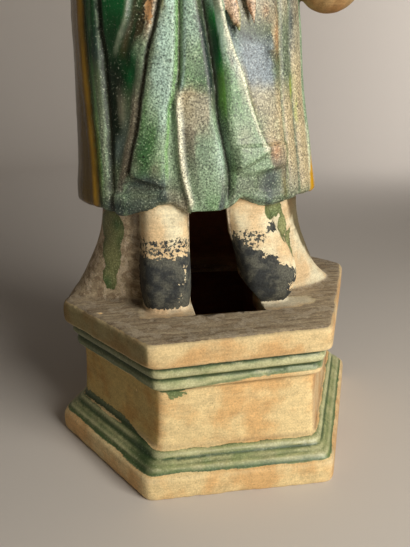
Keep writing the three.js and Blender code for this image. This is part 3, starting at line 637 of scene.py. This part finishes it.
PATCHES = {
    # Of the night spots, the second and fourth, under the foot of the left panel, and the third, under the foot of the
    # lower right layer, are painted shadow beneath those edges.
    "night": [(-55, 143, 9, 3.2, 0.9), (-33, 147.5, 5, 2.2, 0.9), (21.6, 152, 5.5, 4.5, 1.0), (-44, 155, 8, 1.6, 0.8), (2.7, 224, 3, 4, 0.7),
              (9, 221, 5, 2.2, 0.8), (21.4, 216.5, 1.8, 6, 0.8), (35, 228, 1.2, 10, 0.9), (-12, 206, 3, 6, 0.5), (-19, 198.5, 4, 2, 0.4)],
    "rust": [(25.4, 168.5, 2.6, 4.0, 0.8), (26.4, 222, 1.4, 7, 0.7), (19.6, 233, 2.2, 3, 0.6)],
    "haze": [(9.5, 213, 5, 7, 0.7), (-31, 206, 3, 10, 0.3), (12, 205, 2.6, 3.4, 0.8)],
    "bloom": [(-29.7, 222, 3, 9, 0.7), (-31, 200, 4, 12, 0.4), (4.2, 212, 2.2, 9, 0.4), (-24, 181, 2, 9, 0.4), (-4, 168, 3, 12, 0.35)],
    "sage": [(-40.5, 216, 2.4, 3.4, 0.9), (-52, 148.4, 4, 1.6, 0.6), (17, 181, 4, 6, 0.4)],
    "tan": [(-16, 193, 5, 2.6, 0.8), (-35.8, 162, 2.2, 4, 0.5), (8, 176, 4, 6, 0.4), (-50, 190, 1.4, 7, 0.4)],
    "lime": [(35.6, 199, 1.0, 5, 1.0), (38.5, 187, 0.7, 10, 0.5), (-62.9, 168, 0.9, 16, 0.5)],
    "emerald": [(-41, 171, 3.4, 7, 0.5), (-5.6, 216, 1.6, 9, 0.8), (-27.7, 190, 1.2, 6, 0.4), (-45, 205, 2.6, 6, 0.7)],
    "slate": [(-12, 170, 3, 9, 0.3), (15, 144, 10, 2, 0.5), (-44, 146.5, 9, 1.5, 0.5)],
}


def linear(hex_colour):
    """An sRGB hex colour as linear red, green and blue."""
    values = np.array([int(hex_colour[i:i + 2], 16) / 255 for i in (1, 3, 5)])
    return np.where(values <= 0.04045, values / 12.92, ((values + 0.055) / 1.055) ** 2.4)


def spots(places, x, z):
    """Soft oval spots, each (x, height, reach across, reach up, strength)."""
    cover = np.zeros_like(x)
    for cx, cz, across, up, strength in places:
        cover = np.maximum(cover, strength * np.exp(-(((x - cx) / across) ** 2 + ((z - cz) / up) ** 2)))
    return np.clip(cover, 0, 1)


def toned(tone, colour, cover):
    """The tone with another laid over it: one hex colour, or a colour for each point."""
    over = linear(colour) if isinstance(colour, str) else colour
    return tone + (over - tone) * np.clip(cover, 0, 1)[:, None]


def graded(tones, z):
    """Tones that pass into one another up the cloth, from (height, name) stations."""
    heights = [height for height, _ in tones]
    colours = np.array([linear(TONES[name]) for _, name in tones])
    return np.stack([np.interp(z, heights, channel) for channel in colours.T], axis=1)


points = points_of(body)
X, Y, Z = (points / MM).T
NX, NY, NZ = normals_of(body).T
convex = np.empty(len(X))
body.attributes["convex"].data.foreach_get("value", convex)
nearest = [pressed.find_nearest(point)[2:] for point in points]
piece_of = name_of_face[[face for face, _ in nearest]]
on = {name: (piece_of == i).astype(float) for i, name in enumerate(names)}
inside = step(np.array([distance for _, distance in nearest]) / MM, 2.5, 4.5)
facing = step(-Y, -4, 8)
ragged_x = X + 0.35 * rough(points, 3, 6)
ragged_z = Z + 2.2 * rough(points, 5, 7)

# the robe, from its hem up: green in front, amber round the sides and the back
amber_left, amber_right = along(AMBER_LEFT, Z), along(AMBER_RIGHT, Z)
amber_from = amber_right + 3.4 * step(Z, 150, 172) + 0.6
amber = np.maximum(1 - facing, np.maximum(step(amber_left - ragged_x, -0.2, 0.5), step(ragged_x - amber_from, -0.4, 0.4))) * on["robe"]
front_cloth = facing * on["robe"]
glaze = np.tile(linear(TONES["sage"]), (len(X), 1))
for (left, past_left), (right, past_right), tones in CLOTH:
    cover = between(ragged_x, along(left, Z) + past_left, along(right, Z) + past_right, 1.0) * front_cloth
    glaze = toned(glaze, graded(tones, ragged_z), cover)
for name, places in PATCHES.items():
    glaze = toned(glaze, TONES[name], 1.15 * spots(places, ragged_x, Z) * front_cloth)
LINES = [
    # tone, how far across the line runs at each height, half width, lowest and highest, strength
    ("pool", along(CENTRE_FURROW, Z) + 0.1, 1.0, 146, 290, 0.95), ("pool", along(LEFT_FURROW, Z), 1.0, 150, 290, 0.95),
    # The umber line just left of the left panel is painted shade under the panel's raised edge, darkening the groove
    # there.
    ("umber", along(PANEL_LEFT, Z) - 1.5, 0.9, 158, 290, 0.95), ("umber", along(STITCH_GROOVE, Z), 0.7, 196, 290, 0.9),
    ("earth", along(RIGHT_FURROW, Z), 0.6, 145, 290, 0.8), ("umber", along(OUTER_FURROW, Z), 0.6, 145, 290, 0.7),
    ("cream", along(CREAM_RIDGE, Z) + 0.7, 1.2, 143, 198, 1.0), ("bloom", along(CREAM_RIDGE, Z) + 1.0, 0.7, 198, 290, 0.8),
    ("cream", along(SASH_RIGHT, Z) - 0.5, 0.7, 168, 245, 0.8), ("grass", along(PANEL_RIGHT, Z) + 1.2, 0.8, 158, 240, 0.6),
    ("umber", along(DRAPE_EDGE, Z) + 3.0, 1.6, 214, 290, 0.9), ("moss", along(DRAPE_EDGE, Z) - 0.6, 0.9, 214, 290, 0.9),
    ("cream", along(PANEL_LEFT, Z) - 3.0, 0.8, 224, 290, 0.5), ("cream", along(AMBER_RIGHT, Z) + 1.4, 1.0, 143, 180, 0.5),
]
for name, middle, half_width, low, high, strength in LINES:
    glaze = toned(glaze, TONES[name], strength * ridge(X, middle, half_width) * between(Z, low, high, 5) * front_cloth)
sides = graded([(136, "treacle"), (200, "treacle"), (SHOULDER, "amber")], Z)
# Painted highlight: a lighter amber line down the ridge of the left side, where the glaze catches the light.
sides = toned(sides, TONES["amber"], ridge(X, amber_left - 2.6, 1.3) * facing)
sides = toned(sides, TONES["honey"], step(X, 20, 34) * facing)
glaze = toned(glaze, sides, amber)

# below the hem: runs of glaze on the skirt, and the beads of the plinth
SKIRT_RUNS = [(-58.5, 128, 6.4, 11, 1.3), (-59.8, 113, 5.6, 12, 1.25), (-61.8, 100, 4.4, 8, 1.2),
              (26, 138, 7, 7, 1.1), (33, 127, 3.6, 8, 1.2), (37.5, 118, 2.4, 8, 1.1), (40, 110, 1.4, 5, 0.9)]
runs_down = spots(SKIRT_RUNS, X + 0.6 * rough(points, 4, 11), Z) * facing * np.maximum(on["skirt"], on["boots"] * step(X, 17, 21))
glaze = toned(glaze, "#86895A", np.clip(on["skirt"] + on["boots"], 0, 1))
glaze = toned(glaze, "#3F6438", spots([(-56, 131, 2.6, 4, 0.9), (-63.5, 97, 2.4, 4, 1.0), (-55, 122, 2, 3, 0.6), (26, 134, 5, 5, 0.7)], X, Z)
              * np.clip(on["skirt"] + on["boots"], 0, 1))
left_face = step(-NX, 0.5, 0.7) * on["plinth"]
front_face = step(-NY, 0.8, 0.95) * on["plinth"]
wander = 1.0 * rough(points, 14, 8) + 0.5 * rough(points, 5, 9)
upper_low = 59.2 - 5.4 * spots([(-32, 54, 11, 30, 1)], X, Z) * step(-Y, 60, 66) + 1.6 * step(X, 0, 10) * step(-Y, 60, 66) + 0.8 * wander
lower_high = 22.4 + 4.6 * left_face * step(-X, 50, 62) + 0.7 * wander
lower_low = FOOT_TOP + 0.4 + 0.5 * wander
bead_glaze = between(Z, upper_low, CAP_BOTTOM - 1.1 + 0.3 * wander, 1.0) + between(Z, lower_low, lower_high, 1.0)
hem = along(HEM_LINE, X)
BARE_PATCHES = [(-35.6, 232, 3.4, 9, 0.9), (25.4, 168.5, 2.6, 3.5, 0.5)]
covered = np.maximum.reduce([on["robe"] * step(Z - hem, -2.4, -1.2) * (1 - 0.7 * spots(BARE_PATCHES, X, Z) * facing),
                             on["sleeves"], on["cap"], on["ribbons"] * 0.9, step(runs_down, 0.35, 0.75),
                             np.clip(bead_glaze, 0, 1) * on["plinth"]]) * (1 - inside)
hollows = step(-convex, 0.0, 0.16)
bead_tone = toned(np.tile(linear("#A5A678"), (len(X), 1)), "#818C5C", step(rough(points, 8, 12), -0.2, 0.4))
# Painted shade: the glazed beads are darker on the left faces, which are turned from the lamp.
bead_tone = toned(bead_tone, "#56623C", left_face)
bead_tone = toned(bead_tone, "#34502A", hollows * 0.95)
# Painted highlight: the beads' ridges are paler, and fainter so on the shaded left faces.
bead_tone = toned(bead_tone, "#C0BE94", step(convex, 0.04, 0.2) * (1 - 0.7 * left_face) * 0.8)
bead_tone = toned(bead_tone, "#3A5A2C", np.maximum(ridge(Z, upper_low + 0.9, 0.8), ridge(Z, lower_low + 0.7, 0.6)) * 0.7)
bead_tone = toned(bead_tone, "#1E3D1C", spots([(-50, 21, 7, 10, 0.9)], X, Z) * step(-Y, 40, 60))
glaze = toned(glaze, bead_tone, on["plinth"])
glaze = toned(glaze, "#1C6B34", np.maximum(on["sleeves"], on["cap"]) * 0.9)
glaze = toned(glaze, "#C3A88C", on["ribbons"])
glaze = toned(glaze, "#8A5F3E", on["ribbons"] * step(rough(points, 3, 13), 0.1, 0.4) * 0.8)
glaze = toned(glaze, TONES["fresh"], on["ribbons"] * spots([(6, 222, 3, 3, 0.8), (6.5, 236, 1.2, 9, 0.8)], X, Z))
covered_edge = step(runs_down, 0.55, 0.95)
glaze = toned(glaze, "#4C5A30", (1 - covered_edge) * np.clip(on["skirt"] + on["boots"], 0, 1) * 0.7)

GLASSY = [(-49.8, 227, 6, 22, 1.0), (-45.7, 205, 4.5, 9, 0.9), (-5.6, 216, 2.6, 18, 1.0), (-62, 218, 2.4, 26, 0.8), (-52, 186, 4.5, 16, 0.7),
          (-3, 199, 2.2, 8, 0.6), (35.6, 199, 1.2, 5, 0.6)]
fresh = np.maximum(spots(GLASSY, X, Z) * front_cloth, 0.9 * amber)
fresh = np.maximum(fresh, 0.6 * np.maximum(on["sleeves"], on["cap"]))
fresh = np.maximum(fresh, 0.3 * on["plinth"] + 0.25 * (on["skirt"] + on["boots"]))
speckle = np.clip(1 - 1.0 * fresh, 0.15, 1) * (1 - 0.45 * on["plinth"])

# bare clay, the thin slip brushed over the cap and the skirt, and the black that was painted on the boots when cold
ON_BOOT = on["boots"]
black = between(Z, 88.4, 115.2, 1.6) + 0.5 * between(Z, 114.4, 127, 3)
black = np.where(X > 0, between(Z, 87.4, 113 + 0.5 * (24 - X), 1.6) + 0.52 * between(Z, 112, 128.5, 3) * step(32 - X, 0, 6)
                 + spots([(25, 129.6, 4, 2.2, 1.0)], X, Z), black)
WORN_TOES = [(-25, 102.5, 4, 1.4, 0.35), (-25.6, 96, 3, 4, 0.4), (-22.6, 108, 1.6, 7, 0.45), (37, 96, 4.5, 3.4, 0.8), (38, 104, 2, 6, 0.4)]
BARE_TOE = [(29, 120.5, 6.5, 4.4, 1.2), (21, 119.5, 3, 2.4, 0.7)]
painted = (black - spots(WORN_TOES, X, Z) - spots(BARE_TOE, X, Z)) * ON_BOOT * step(-Y, 22, 28)
slip = on["plinth"] * step(Z, CAP_TOP - 1.0, CAP_TOP - 0.3) * step(NZ, 0.4, 0.8)
slip = np.maximum(slip, on["skirt"] * (0.8 - 0.75 * step(X, 10, 30)))
near_feet = between(X, -48, 50, 8) * (1 - step(-Y, 47, 53)) * step(-Y, 30, 36) * step(Z, 84, 86) * (1 - step(Z, 88.5, 91))
slip = slip * (1 - 0.9 * near_feet)

clay = np.tile(linear("#DCC490"), (len(X), 1))
# Painted shade: the bare clay is darker on the left faces, which are turned from the lamp, with some dirt there, and
# darker still just under the cap; the right faces are a little darker too.
clay = toned(clay, "#BEA668", left_face * step(Z, 22, 26) * step(70 - Z, 0, 8))
clay = toned(clay, "#8A8057", left_face * step(Z, 70, 74) * 0.9)
clay = toned(clay, "#C2A87E", step(NX, 0.5, 0.7) * on["plinth"])
clay = toned(clay, "#D3BB8A", front_face * step(Z, 70, 74))
clay = toned(clay, "#8F7C60", on["skirt"] * (1 - step(X, 5, 30)))
clay = toned(clay, "#D6CCAC", on["skirt"] * step(X, 10, 32))
SIDE_STAIN = [(92, 66), (99, 59.5), (106, 53.5), (114, 48), (123, 43.2), (131, 38.7), (140, 35)]
stained = step(ragged_x - along(SIDE_STAIN, Z), -0.4, 0.8) * on["skirt"] * step(Z, 90, 97)
clay = toned(clay, "#514628", 0.95 * stained)
clay = toned(clay, "#E2D7B4", ON_BOOT)
clay = toned(clay, "#B98A5C", spots(BARE_PATCHES, X, Z) * on["robe"] * facing)
clay = toned(clay, "#A98B5E", on["fists"])
clay = toned(clay, "#CDB58A", on["head"])
clay = toned(clay, "#E9DDBE", near_feet)
clay = toned(clay, "#8A5A34", inside)

# Darker towards brown in the hollows, and over the cap's top where it is not convex. Beside the left boot this is a
# painted shadow of the boot on the skirt, with grime in it. On the cap's right corner it is stain and painted shadow
# together.
grime_and_shade = np.clip(step(-convex, 0.03, 0.35), 0, 1) * (0.75 - 0.35 * on["robe"])
seat = (1 - step(np.abs(np.abs(X + 4) - 28), 10, 12)) * 0
grime_and_shade = np.maximum(grime_and_shade, 0.8 * (on["skirt"] + ON_BOOT) * between(X, -49.5, -44.2, 2) * step(-Y, 18, 24) * step(Z, 92, 100))
grime_and_shade = np.maximum(grime_and_shade, 0.7 * on["plinth"] * ridge(Z, CAP_TOP - 0.6, 0.8) * step(-convex + 0.5, 0, 0.3))
grime_and_shade = np.maximum(grime_and_shade, 0.85 * on["plinth"] * step(X, 68, 80) * step(Y, 4, 16) * step(Z, CAP_TOP - 0.6, CAP_TOP))
edges = step(convex, 0.08, 0.4) * on["plinth"]


def layer(name, *columns):
    values = np.ones((len(X), 4))
    for i, column in enumerate(columns):
        values[:, i] = np.clip(column, 0, 1)
    body.attributes.new(name, "FLOAT_COLOR", "POINT").data.foreach_set("color", values.ravel())


layer("cover", covered, fresh, painted, slip * (1 - inside))
layer("glaze_tone", *glaze.T)
layer("clay_tone", *clay.T)
layer("age_and_shade", grime_and_shade, edges, inside, speckle)
body.attributes.remove(body.attributes["convex"])


# Surface: buff earthenware with scrape lines, thin grey slip, cold black paint, and two lead glazes over it.
# The glazes are glassy where they are whole, and matt and silvered in fine specks where burial has etched them.
def add(tree, kind, inputs, **settings):
    """Adds a node with its settings, and joins or sets each of its inputs."""
    made = tree.nodes.new(kind)
    for name, value in settings.items():
        setattr(made, name, value)
    for socket, value in inputs.items():
        if isinstance(value, bpy.types.NodeSocket):
            tree.links.new(value, made.inputs[socket])
        else:
            made.inputs[socket].default_value = value
    return made


def rgba(hex_colour):
    return (*linear(hex_colour), 1)


def per_metre(size_mm):
    """Noise scale whose lumps are about this many millimetres across."""
    return 1000 / size_mm


finish = bpy.data.materials.new("lead-glazed buff earthenware")
finish.use_nodes = True
tree = finish.node_tree
surface = tree.nodes["Principled BSDF"]
MIX = {"data_type": "RGBA"}
SMOOTH = {"interpolation_type": "SMOOTHSTEP"}
MATH, RAMP, BLEND = "ShaderNodeMath", "ShaderNodeMapRange", "ShaderNodeMix"
NOISE, STRETCH, LAYER = "ShaderNodeTexNoise", "ShaderNodeMapping", "ShaderNodeAttribute"
TIMES, PLUS, TIMES_PLUS, LARGER = ({"operation": o} for o in ("MULTIPLY", "ADD", "MULTIPLY_ADD", "MAXIMUM"))

where = add(tree, "ShaderNodeTexCoord", {}).outputs["Object"]
cover_layer = add(tree, LAYER, {}, attribute_name="cover")
cover = add(tree, "ShaderNodeSeparateColor", {0: cover_layer.outputs["Color"]}).outputs
glaze_tone = add(tree, LAYER, {}, attribute_name="glaze_tone").outputs["Color"]
clay_tone = add(tree, LAYER, {}, attribute_name="clay_tone").outputs["Color"]
age_and_shade_layer = add(tree, LAYER, {}, attribute_name="age_and_shade")
age_and_shade = add(tree, "ShaderNodeSeparateColor", {0: age_and_shade_layer.outputs["Color"]}).outputs
speckling = age_and_shade_layer.outputs["Alpha"]

grain = add(tree, NOISE, {"Vector": where, "Scale": per_metre(0.85), "Detail": 1.5, "Roughness": 0.6}).outputs[0]
grit = add(tree, NOISE, {"Vector": where, "Scale": per_metre(1.6), "Detail": 3.0, "Roughness": 0.65}).outputs[0]
mottle = add(tree, NOISE, {"Vector": where, "Scale": per_metre(6), "Detail": 4.0, "Roughness": 0.6}).outputs[0]
cloud = add(tree, NOISE, {"Vector": where, "Scale": per_metre(22), "Detail": 3.0, "Roughness": 0.55}).outputs[0]
# scrape lines run level round the plinth, 1.3 mm apart and drawn out
level_streaks = add(tree, STRETCH, {"Vector": where, "Scale": (60, 60, 770)}).outputs[0]
scrapes = add(tree, NOISE, {"Vector": level_streaks, "Scale": 1.0, "Detail": 4.0, "Roughness": 0.7}).outputs[0]
# brush strokes in the slip run from side to side over the cap
brushed = add(tree, STRETCH, {"Vector": where, "Scale": (45, 330, 300)}).outputs[0]
strokes = add(tree, NOISE, {"Vector": brushed, "Scale": 1.0, "Detail": 5.0, "Roughness": 0.65}).outputs[0]
# glaze flowed straight down before it set
flowing = add(tree, STRETCH, {"Vector": where, "Scale": (330, 330, 55)}).outputs[0]
runs = add(tree, NOISE, {"Vector": flowing, "Scale": 1.0, "Detail": 3.0, "Roughness": 0.6}).outputs[0]

# clay: its tone varies by the grain, the scrapes and a soft mottling, with dark grit and paler rubbed edges
value = add(tree, MATH, {0: grain, 1: 0.8, 2: 0.02}, **TIMES_PLUS).outputs[0]
value = add(tree, MATH, {0: scrapes, 1: 0.55, 2: value}, **TIMES_PLUS).outputs[0]
value = add(tree, MATH, {0: mottle, 1: 0.65, 2: value}, **TIMES_PLUS).outputs[0]
bare = add(tree, "ShaderNodeVectorMath", {0: clay_tone, "Scale": value}, operation="SCALE").outputs[0]
warm = add(tree, RAMP, {"Value": cloud, "From Min": 0.4, "From Max": 0.62, "To Min": 0.0, "To Max": 0.55}, **SMOOTH).outputs[0]
bare = add(tree, BLEND, {0: warm, 6: bare, 7: rgba("#E6B98A")}, blend_type="MULTIPLY", **MIX).outputs[2]
pits = add(tree, RAMP, {"Value": grit, "From Min": 0.6, "From Max": 0.72, "To Min": 0.0, "To Max": 0.4}, **SMOOTH).outputs[0]
bare = add(tree, BLEND, {0: pits, 6: bare, 7: rgba("#7D6238")}, **MIX).outputs[2]
rubbed = add(tree, MATH, {0: age_and_shade[1], 1: 0.45}, **TIMES).outputs[0]
bare = add(tree, BLEND, {0: rubbed, 6: bare, 7: rgba("#F0DDB2")}, **MIX).outputs[2]

# slip: a thin grey-brown wash with brush strokes, paler where it lies thick
stroke = add(tree, RAMP, {"Value": strokes, "From Min": 0.34, "From Max": 0.66}, **SMOOTH).outputs[0]
slip_tone = add(tree, BLEND, {0: stroke, 6: rgba("#8F7B61"), 7: rgba("#C3B192")}, **MIX).outputs[2]
thick = add(tree, RAMP, {"Value": mottle, "From Min": 0.53, "From Max": 0.57, "To Min": 0.0, "To Max": 0.75}, **SMOOTH).outputs[0]
slip_tone = add(tree, BLEND, {0: thick, 6: slip_tone, 7: rgba("#D2C1A6")}, **MIX).outputs[2]
value = add(tree, MATH, {0: grain, 1: 1.3, 2: 0.35}, **TIMES_PLUS).outputs[0]
slip_tone = add(tree, "ShaderNodeVectorMath", {0: slip_tone, "Scale": value}, operation="SCALE").outputs[0]
value = add(tree, MATH, {0: mottle, 1: 0.9, 2: -0.45}, **TIMES_PLUS).outputs[0]
value = add(tree, MATH, {0: cover_layer.outputs["Alpha"], 1: value}, **PLUS).outputs[0]
slip_mask = add(tree, RAMP, {"Value": value, "From Min": 0.4, "From Max": 0.6}, **SMOOTH).outputs[0]
bare = add(tree, BLEND, {0: slip_mask, 6: bare, 7: slip_tone}, **MIX).outputs[2]

# cold paint: slate black, flaked away in specks towards the ankles
value = add(tree, MATH, {0: grit, 1: 1.9, 2: -0.95}, **TIMES_PLUS).outputs[0]
value = add(tree, MATH, {0: cover[2], 1: value}, **PLUS).outputs[0]
paint_mask = add(tree, RAMP, {"Value": value, "From Min": 0.46, "From Max": 0.56}, **SMOOTH).outputs[0]
dusty = add(tree, RAMP, {"Value": mottle, "From Min": 0.4, "From Max": 0.62}, **SMOOTH).outputs[0]
paint = add(tree, BLEND, {0: dusty, 6: rgba("#2C2F2F"), 7: rgba("#56564C")}, **MIX).outputs[2]
value = add(tree, MATH, {0: grain, 1: 2.2, 2: -0.1}, **TIMES_PLUS).outputs[0]
paint = add(tree, "ShaderNodeVectorMath", {0: paint, "Scale": value}, operation="SCALE").outputs[0]
bare = add(tree, BLEND, {0: paint_mask, 6: bare, 7: paint}, **MIX).outputs[2]

# lead glaze: etched, the tone breaks up into fine dark and silvered specks; glassy, it only streaks
value = add(tree, MATH, {0: grain, 1: 3.6, 2: -1.8}, **TIMES_PLUS).outputs[0]
value = add(tree, MATH, {0: value, 1: speckling}, **TIMES).outputs[0]
value = add(tree, MATH, {0: mottle, 1: 0.9, 2: value}, **TIMES_PLUS).outputs[0]
value = add(tree, MATH, {0: value, 1: 0.55}, **PLUS).outputs[0]
etched = add(tree, MATH, {0: value, 1: 0.12}, **LARGER).outputs[0]
streaked = add(tree, MATH, {0: runs, 1: 1.6, 2: 0.2}, **TIMES_PLUS).outputs[0]
value = add(tree, BLEND, {0: cover[1], 2: etched, 3: streaked}).outputs[0]
glaze_colour = add(tree, "ShaderNodeVectorMath", {0: glaze_tone, "Scale": value}, operation="SCALE").outputs[0]
silvered = add(tree, RAMP, {"Value": grain, "From Min": 0.6, "From Max": 0.74, "To Min": 0.0, "To Max": 0.45}, **SMOOTH).outputs[0]
silvered = add(tree, MATH, {0: silvered, 1: speckling}, **TIMES).outputs[0]
glaze_colour = add(tree, BLEND, {0: silvered, 6: glaze_colour, 7: rgba("#DDE0C8")}, **MIX).outputs[2]

value = add(tree, MATH, {0: grit, 1: 0.7, 2: -0.35}, **TIMES_PLUS).outputs[0]
value = add(tree, MATH, {0: cover[0], 1: value}, **PLUS).outputs[0]
glaze_mask = add(tree, RAMP, {"Value": value, "From Min": 0.44, "From Max": 0.56}, **SMOOTH).outputs[0]
coloured = add(tree, BLEND, {0: glaze_mask, 6: bare, 7: glaze_colour}, **MIX).outputs[2]
# Darker towards brown where the first age value lies: in the hollows, over the cap's top, and as painted shadow beside
# the left boot and on the cap's corner.
value = add(tree, RAMP, {"Value": mottle, "From Min": 0.3, "From Max": 0.6, "To Min": 0.3, "To Max": 0.8}, **SMOOTH).outputs[0]
dirt_and_shade = add(tree, MATH, {0: age_and_shade[0], 1: value}, **TIMES).outputs[0]
coloured = add(tree, BLEND, {0: dirt_and_shade, 6: coloured, 7: rgba("#352919")}, **MIX).outputs[2]
tree.links.new(coloured, surface.inputs["Base Color"])

glaze_rough = add(tree, RAMP, {"Value": cover[1], "From Min": 0.1, "From Max": 0.9, "To Min": 0.46, "To Max": 0.15}, **SMOOTH).outputs[0]
roughness = add(tree, BLEND, {0: glaze_mask, 2: 0.82, 3: glaze_rough}).outputs[0]
tree.links.new(roughness, surface.inputs["Roughness"])
relief = add(tree, MATH, {0: scrapes, 1: 0.7, 2: 0.0}, **TIMES_PLUS).outputs[0]
relief = add(tree, MATH, {0: grit, 1: 0.6, 2: relief}, **TIMES_PLUS).outputs[0]
relief = add(tree, MATH, {0: glaze_mask, 1: 0.8, 2: relief}, **TIMES_PLUS).outputs[0]
bump = add(tree, "ShaderNodeBump", {"Height": relief, "Strength": 0.7, "Distance": 0.25 * MM}).outputs[0]
tree.links.new(bump, surface.inputs["Normal"])
surface.inputs["IOR"].default_value = 1.5

body.materials.clear()
body.materials.append(finish)
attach(figure, "root")
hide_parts("guardian_figure")


# Studio: a plain pale paper floor that sweeps up into a wall all round, a large soft lamp low on the right
# like a window, and a weaker one on the right that washes the wall behind.
FLOOR_RADIUS, SWEEP_RADIUS, WALL_HEIGHT = 1.2, 0.5, 1.9

bm = bmesh.new()
profile = [bm.verts.new((0, 0, 0)), bm.verts.new((FLOOR_RADIUS, 0, 0))]
for i in range(1, 9):
    bend = math.radians(90 * i / 8)
    profile.append(bm.verts.new((FLOOR_RADIUS + SWEEP_RADIUS * math.sin(bend), 0, SWEEP_RADIUS * (1 - math.cos(bend)))))
profile.append(bm.verts.new((FLOOR_RADIUS + SWEEP_RADIUS, 0, WALL_HEIGHT)))
profile_edges = [bm.edges.new(pair) for pair in zip(profile, profile[1:])]
bmesh.ops.spin(bm, geom=profile + profile_edges, cent=(0, 0, 0), axis=(0, 0, 1), angle=2 * math.pi, steps=96, use_merge=True)
bmesh.ops.remove_doubles(bm, verts=bm.verts, dist=0.0001)
bmesh.ops.recalc_face_normals(bm, faces=bm.faces)
floor_mesh = bpy.data.meshes.new("floor")
bm.to_mesh(floor_mesh)
bm.free()
for polygon in floor_mesh.polygons:
    polygon.use_smooth = True
floor = bpy.data.objects.new("floor", floor_mesh)
bpy.context.scene.collection.objects.link(floor)
plaster = bpy.data.materials.new("matt grey paper")
plaster.use_nodes = True
plaster.node_tree.nodes["Principled BSDF"].inputs["Base Color"].default_value = rgba("#CFC8C0")
plaster.node_tree.nodes["Principled BSDF"].inputs["Roughness"].default_value = 0.9
floor_mesh.materials.append(plaster)


def soft_light(name, place, target, size, power, colour):
    """A square lamp at one place, aimed at another."""
    lamp = bpy.data.objects.new(name, bpy.data.lights.new(name, "AREA"))
    lamp.data.size, lamp.data.energy, lamp.data.color = size, power, colour
    lamp.visible_camera = False
    back = Vector(place) - Vector(target)
    lamp.matrix_world = Matrix.Translation(place) @ back.to_track_quat("Z", "Y").to_matrix().to_4x4()
    bpy.context.scene.collection.objects.link(lamp)


soft_light("key", (0.44, -0.65, 0.44), (0, 0, 0.12), 0.43, 8.4, (1, 0.96, 0.89))
soft_light("backdrop", (0.85, 0.85, 0.6), (0.3, 1.7, 0.3), 0.5, 4.5, (1, 0.97, 0.94))
world = bpy.data.worlds.new("room")
world.use_nodes = True
world.node_tree.nodes["Background"].inputs["Color"].default_value = rgba("#C9CCD2")
world.node_tree.nodes["Background"].inputs["Strength"].default_value = 0.035
bpy.context.scene.world = world
bpy.context.scene.view_settings.view_transform = "Standard"


# Camera: a forearm's length in front of the skirt, a little to the left, looking down on the plinth
PHOTO_HEIGHT_PX = 547
FOCAL_PX = 541
SENSOR_MM = 36
CAMERA_AT = (-0.0524, -0.3081, 0.1996)
CAMERA_TURN, CAMERA_DIP, CAMERA_ROLL = np.radians((-8.65, 19.1, -0.81))

camera = bpy.data.objects.new("camera", bpy.data.cameras.new("camera"))
camera.data.sensor_width = SENSOR_MM
camera.data.lens = SENSOR_MM * FOCAL_PX / PHOTO_HEIGHT_PX
camera.data.clip_start = 0.01
ahead = Vector((-math.sin(CAMERA_TURN) * math.cos(CAMERA_DIP),
                math.cos(CAMERA_TURN) * math.cos(CAMERA_DIP),
                -math.sin(CAMERA_DIP)))
level = Vector((math.cos(CAMERA_TURN), math.sin(CAMERA_TURN), 0))
upright = level.cross(ahead)
right = math.cos(CAMERA_ROLL) * level + math.sin(CAMERA_ROLL) * upright
above = math.cos(CAMERA_ROLL) * upright - math.sin(CAMERA_ROLL) * level
camera.matrix_world = Matrix.Translation(CAMERA_AT) @ Matrix((right, above, -ahead)).transposed().to_4x4()
bpy.context.scene.collection.objects.link(camera)
bpy.context.scene.camera = camera
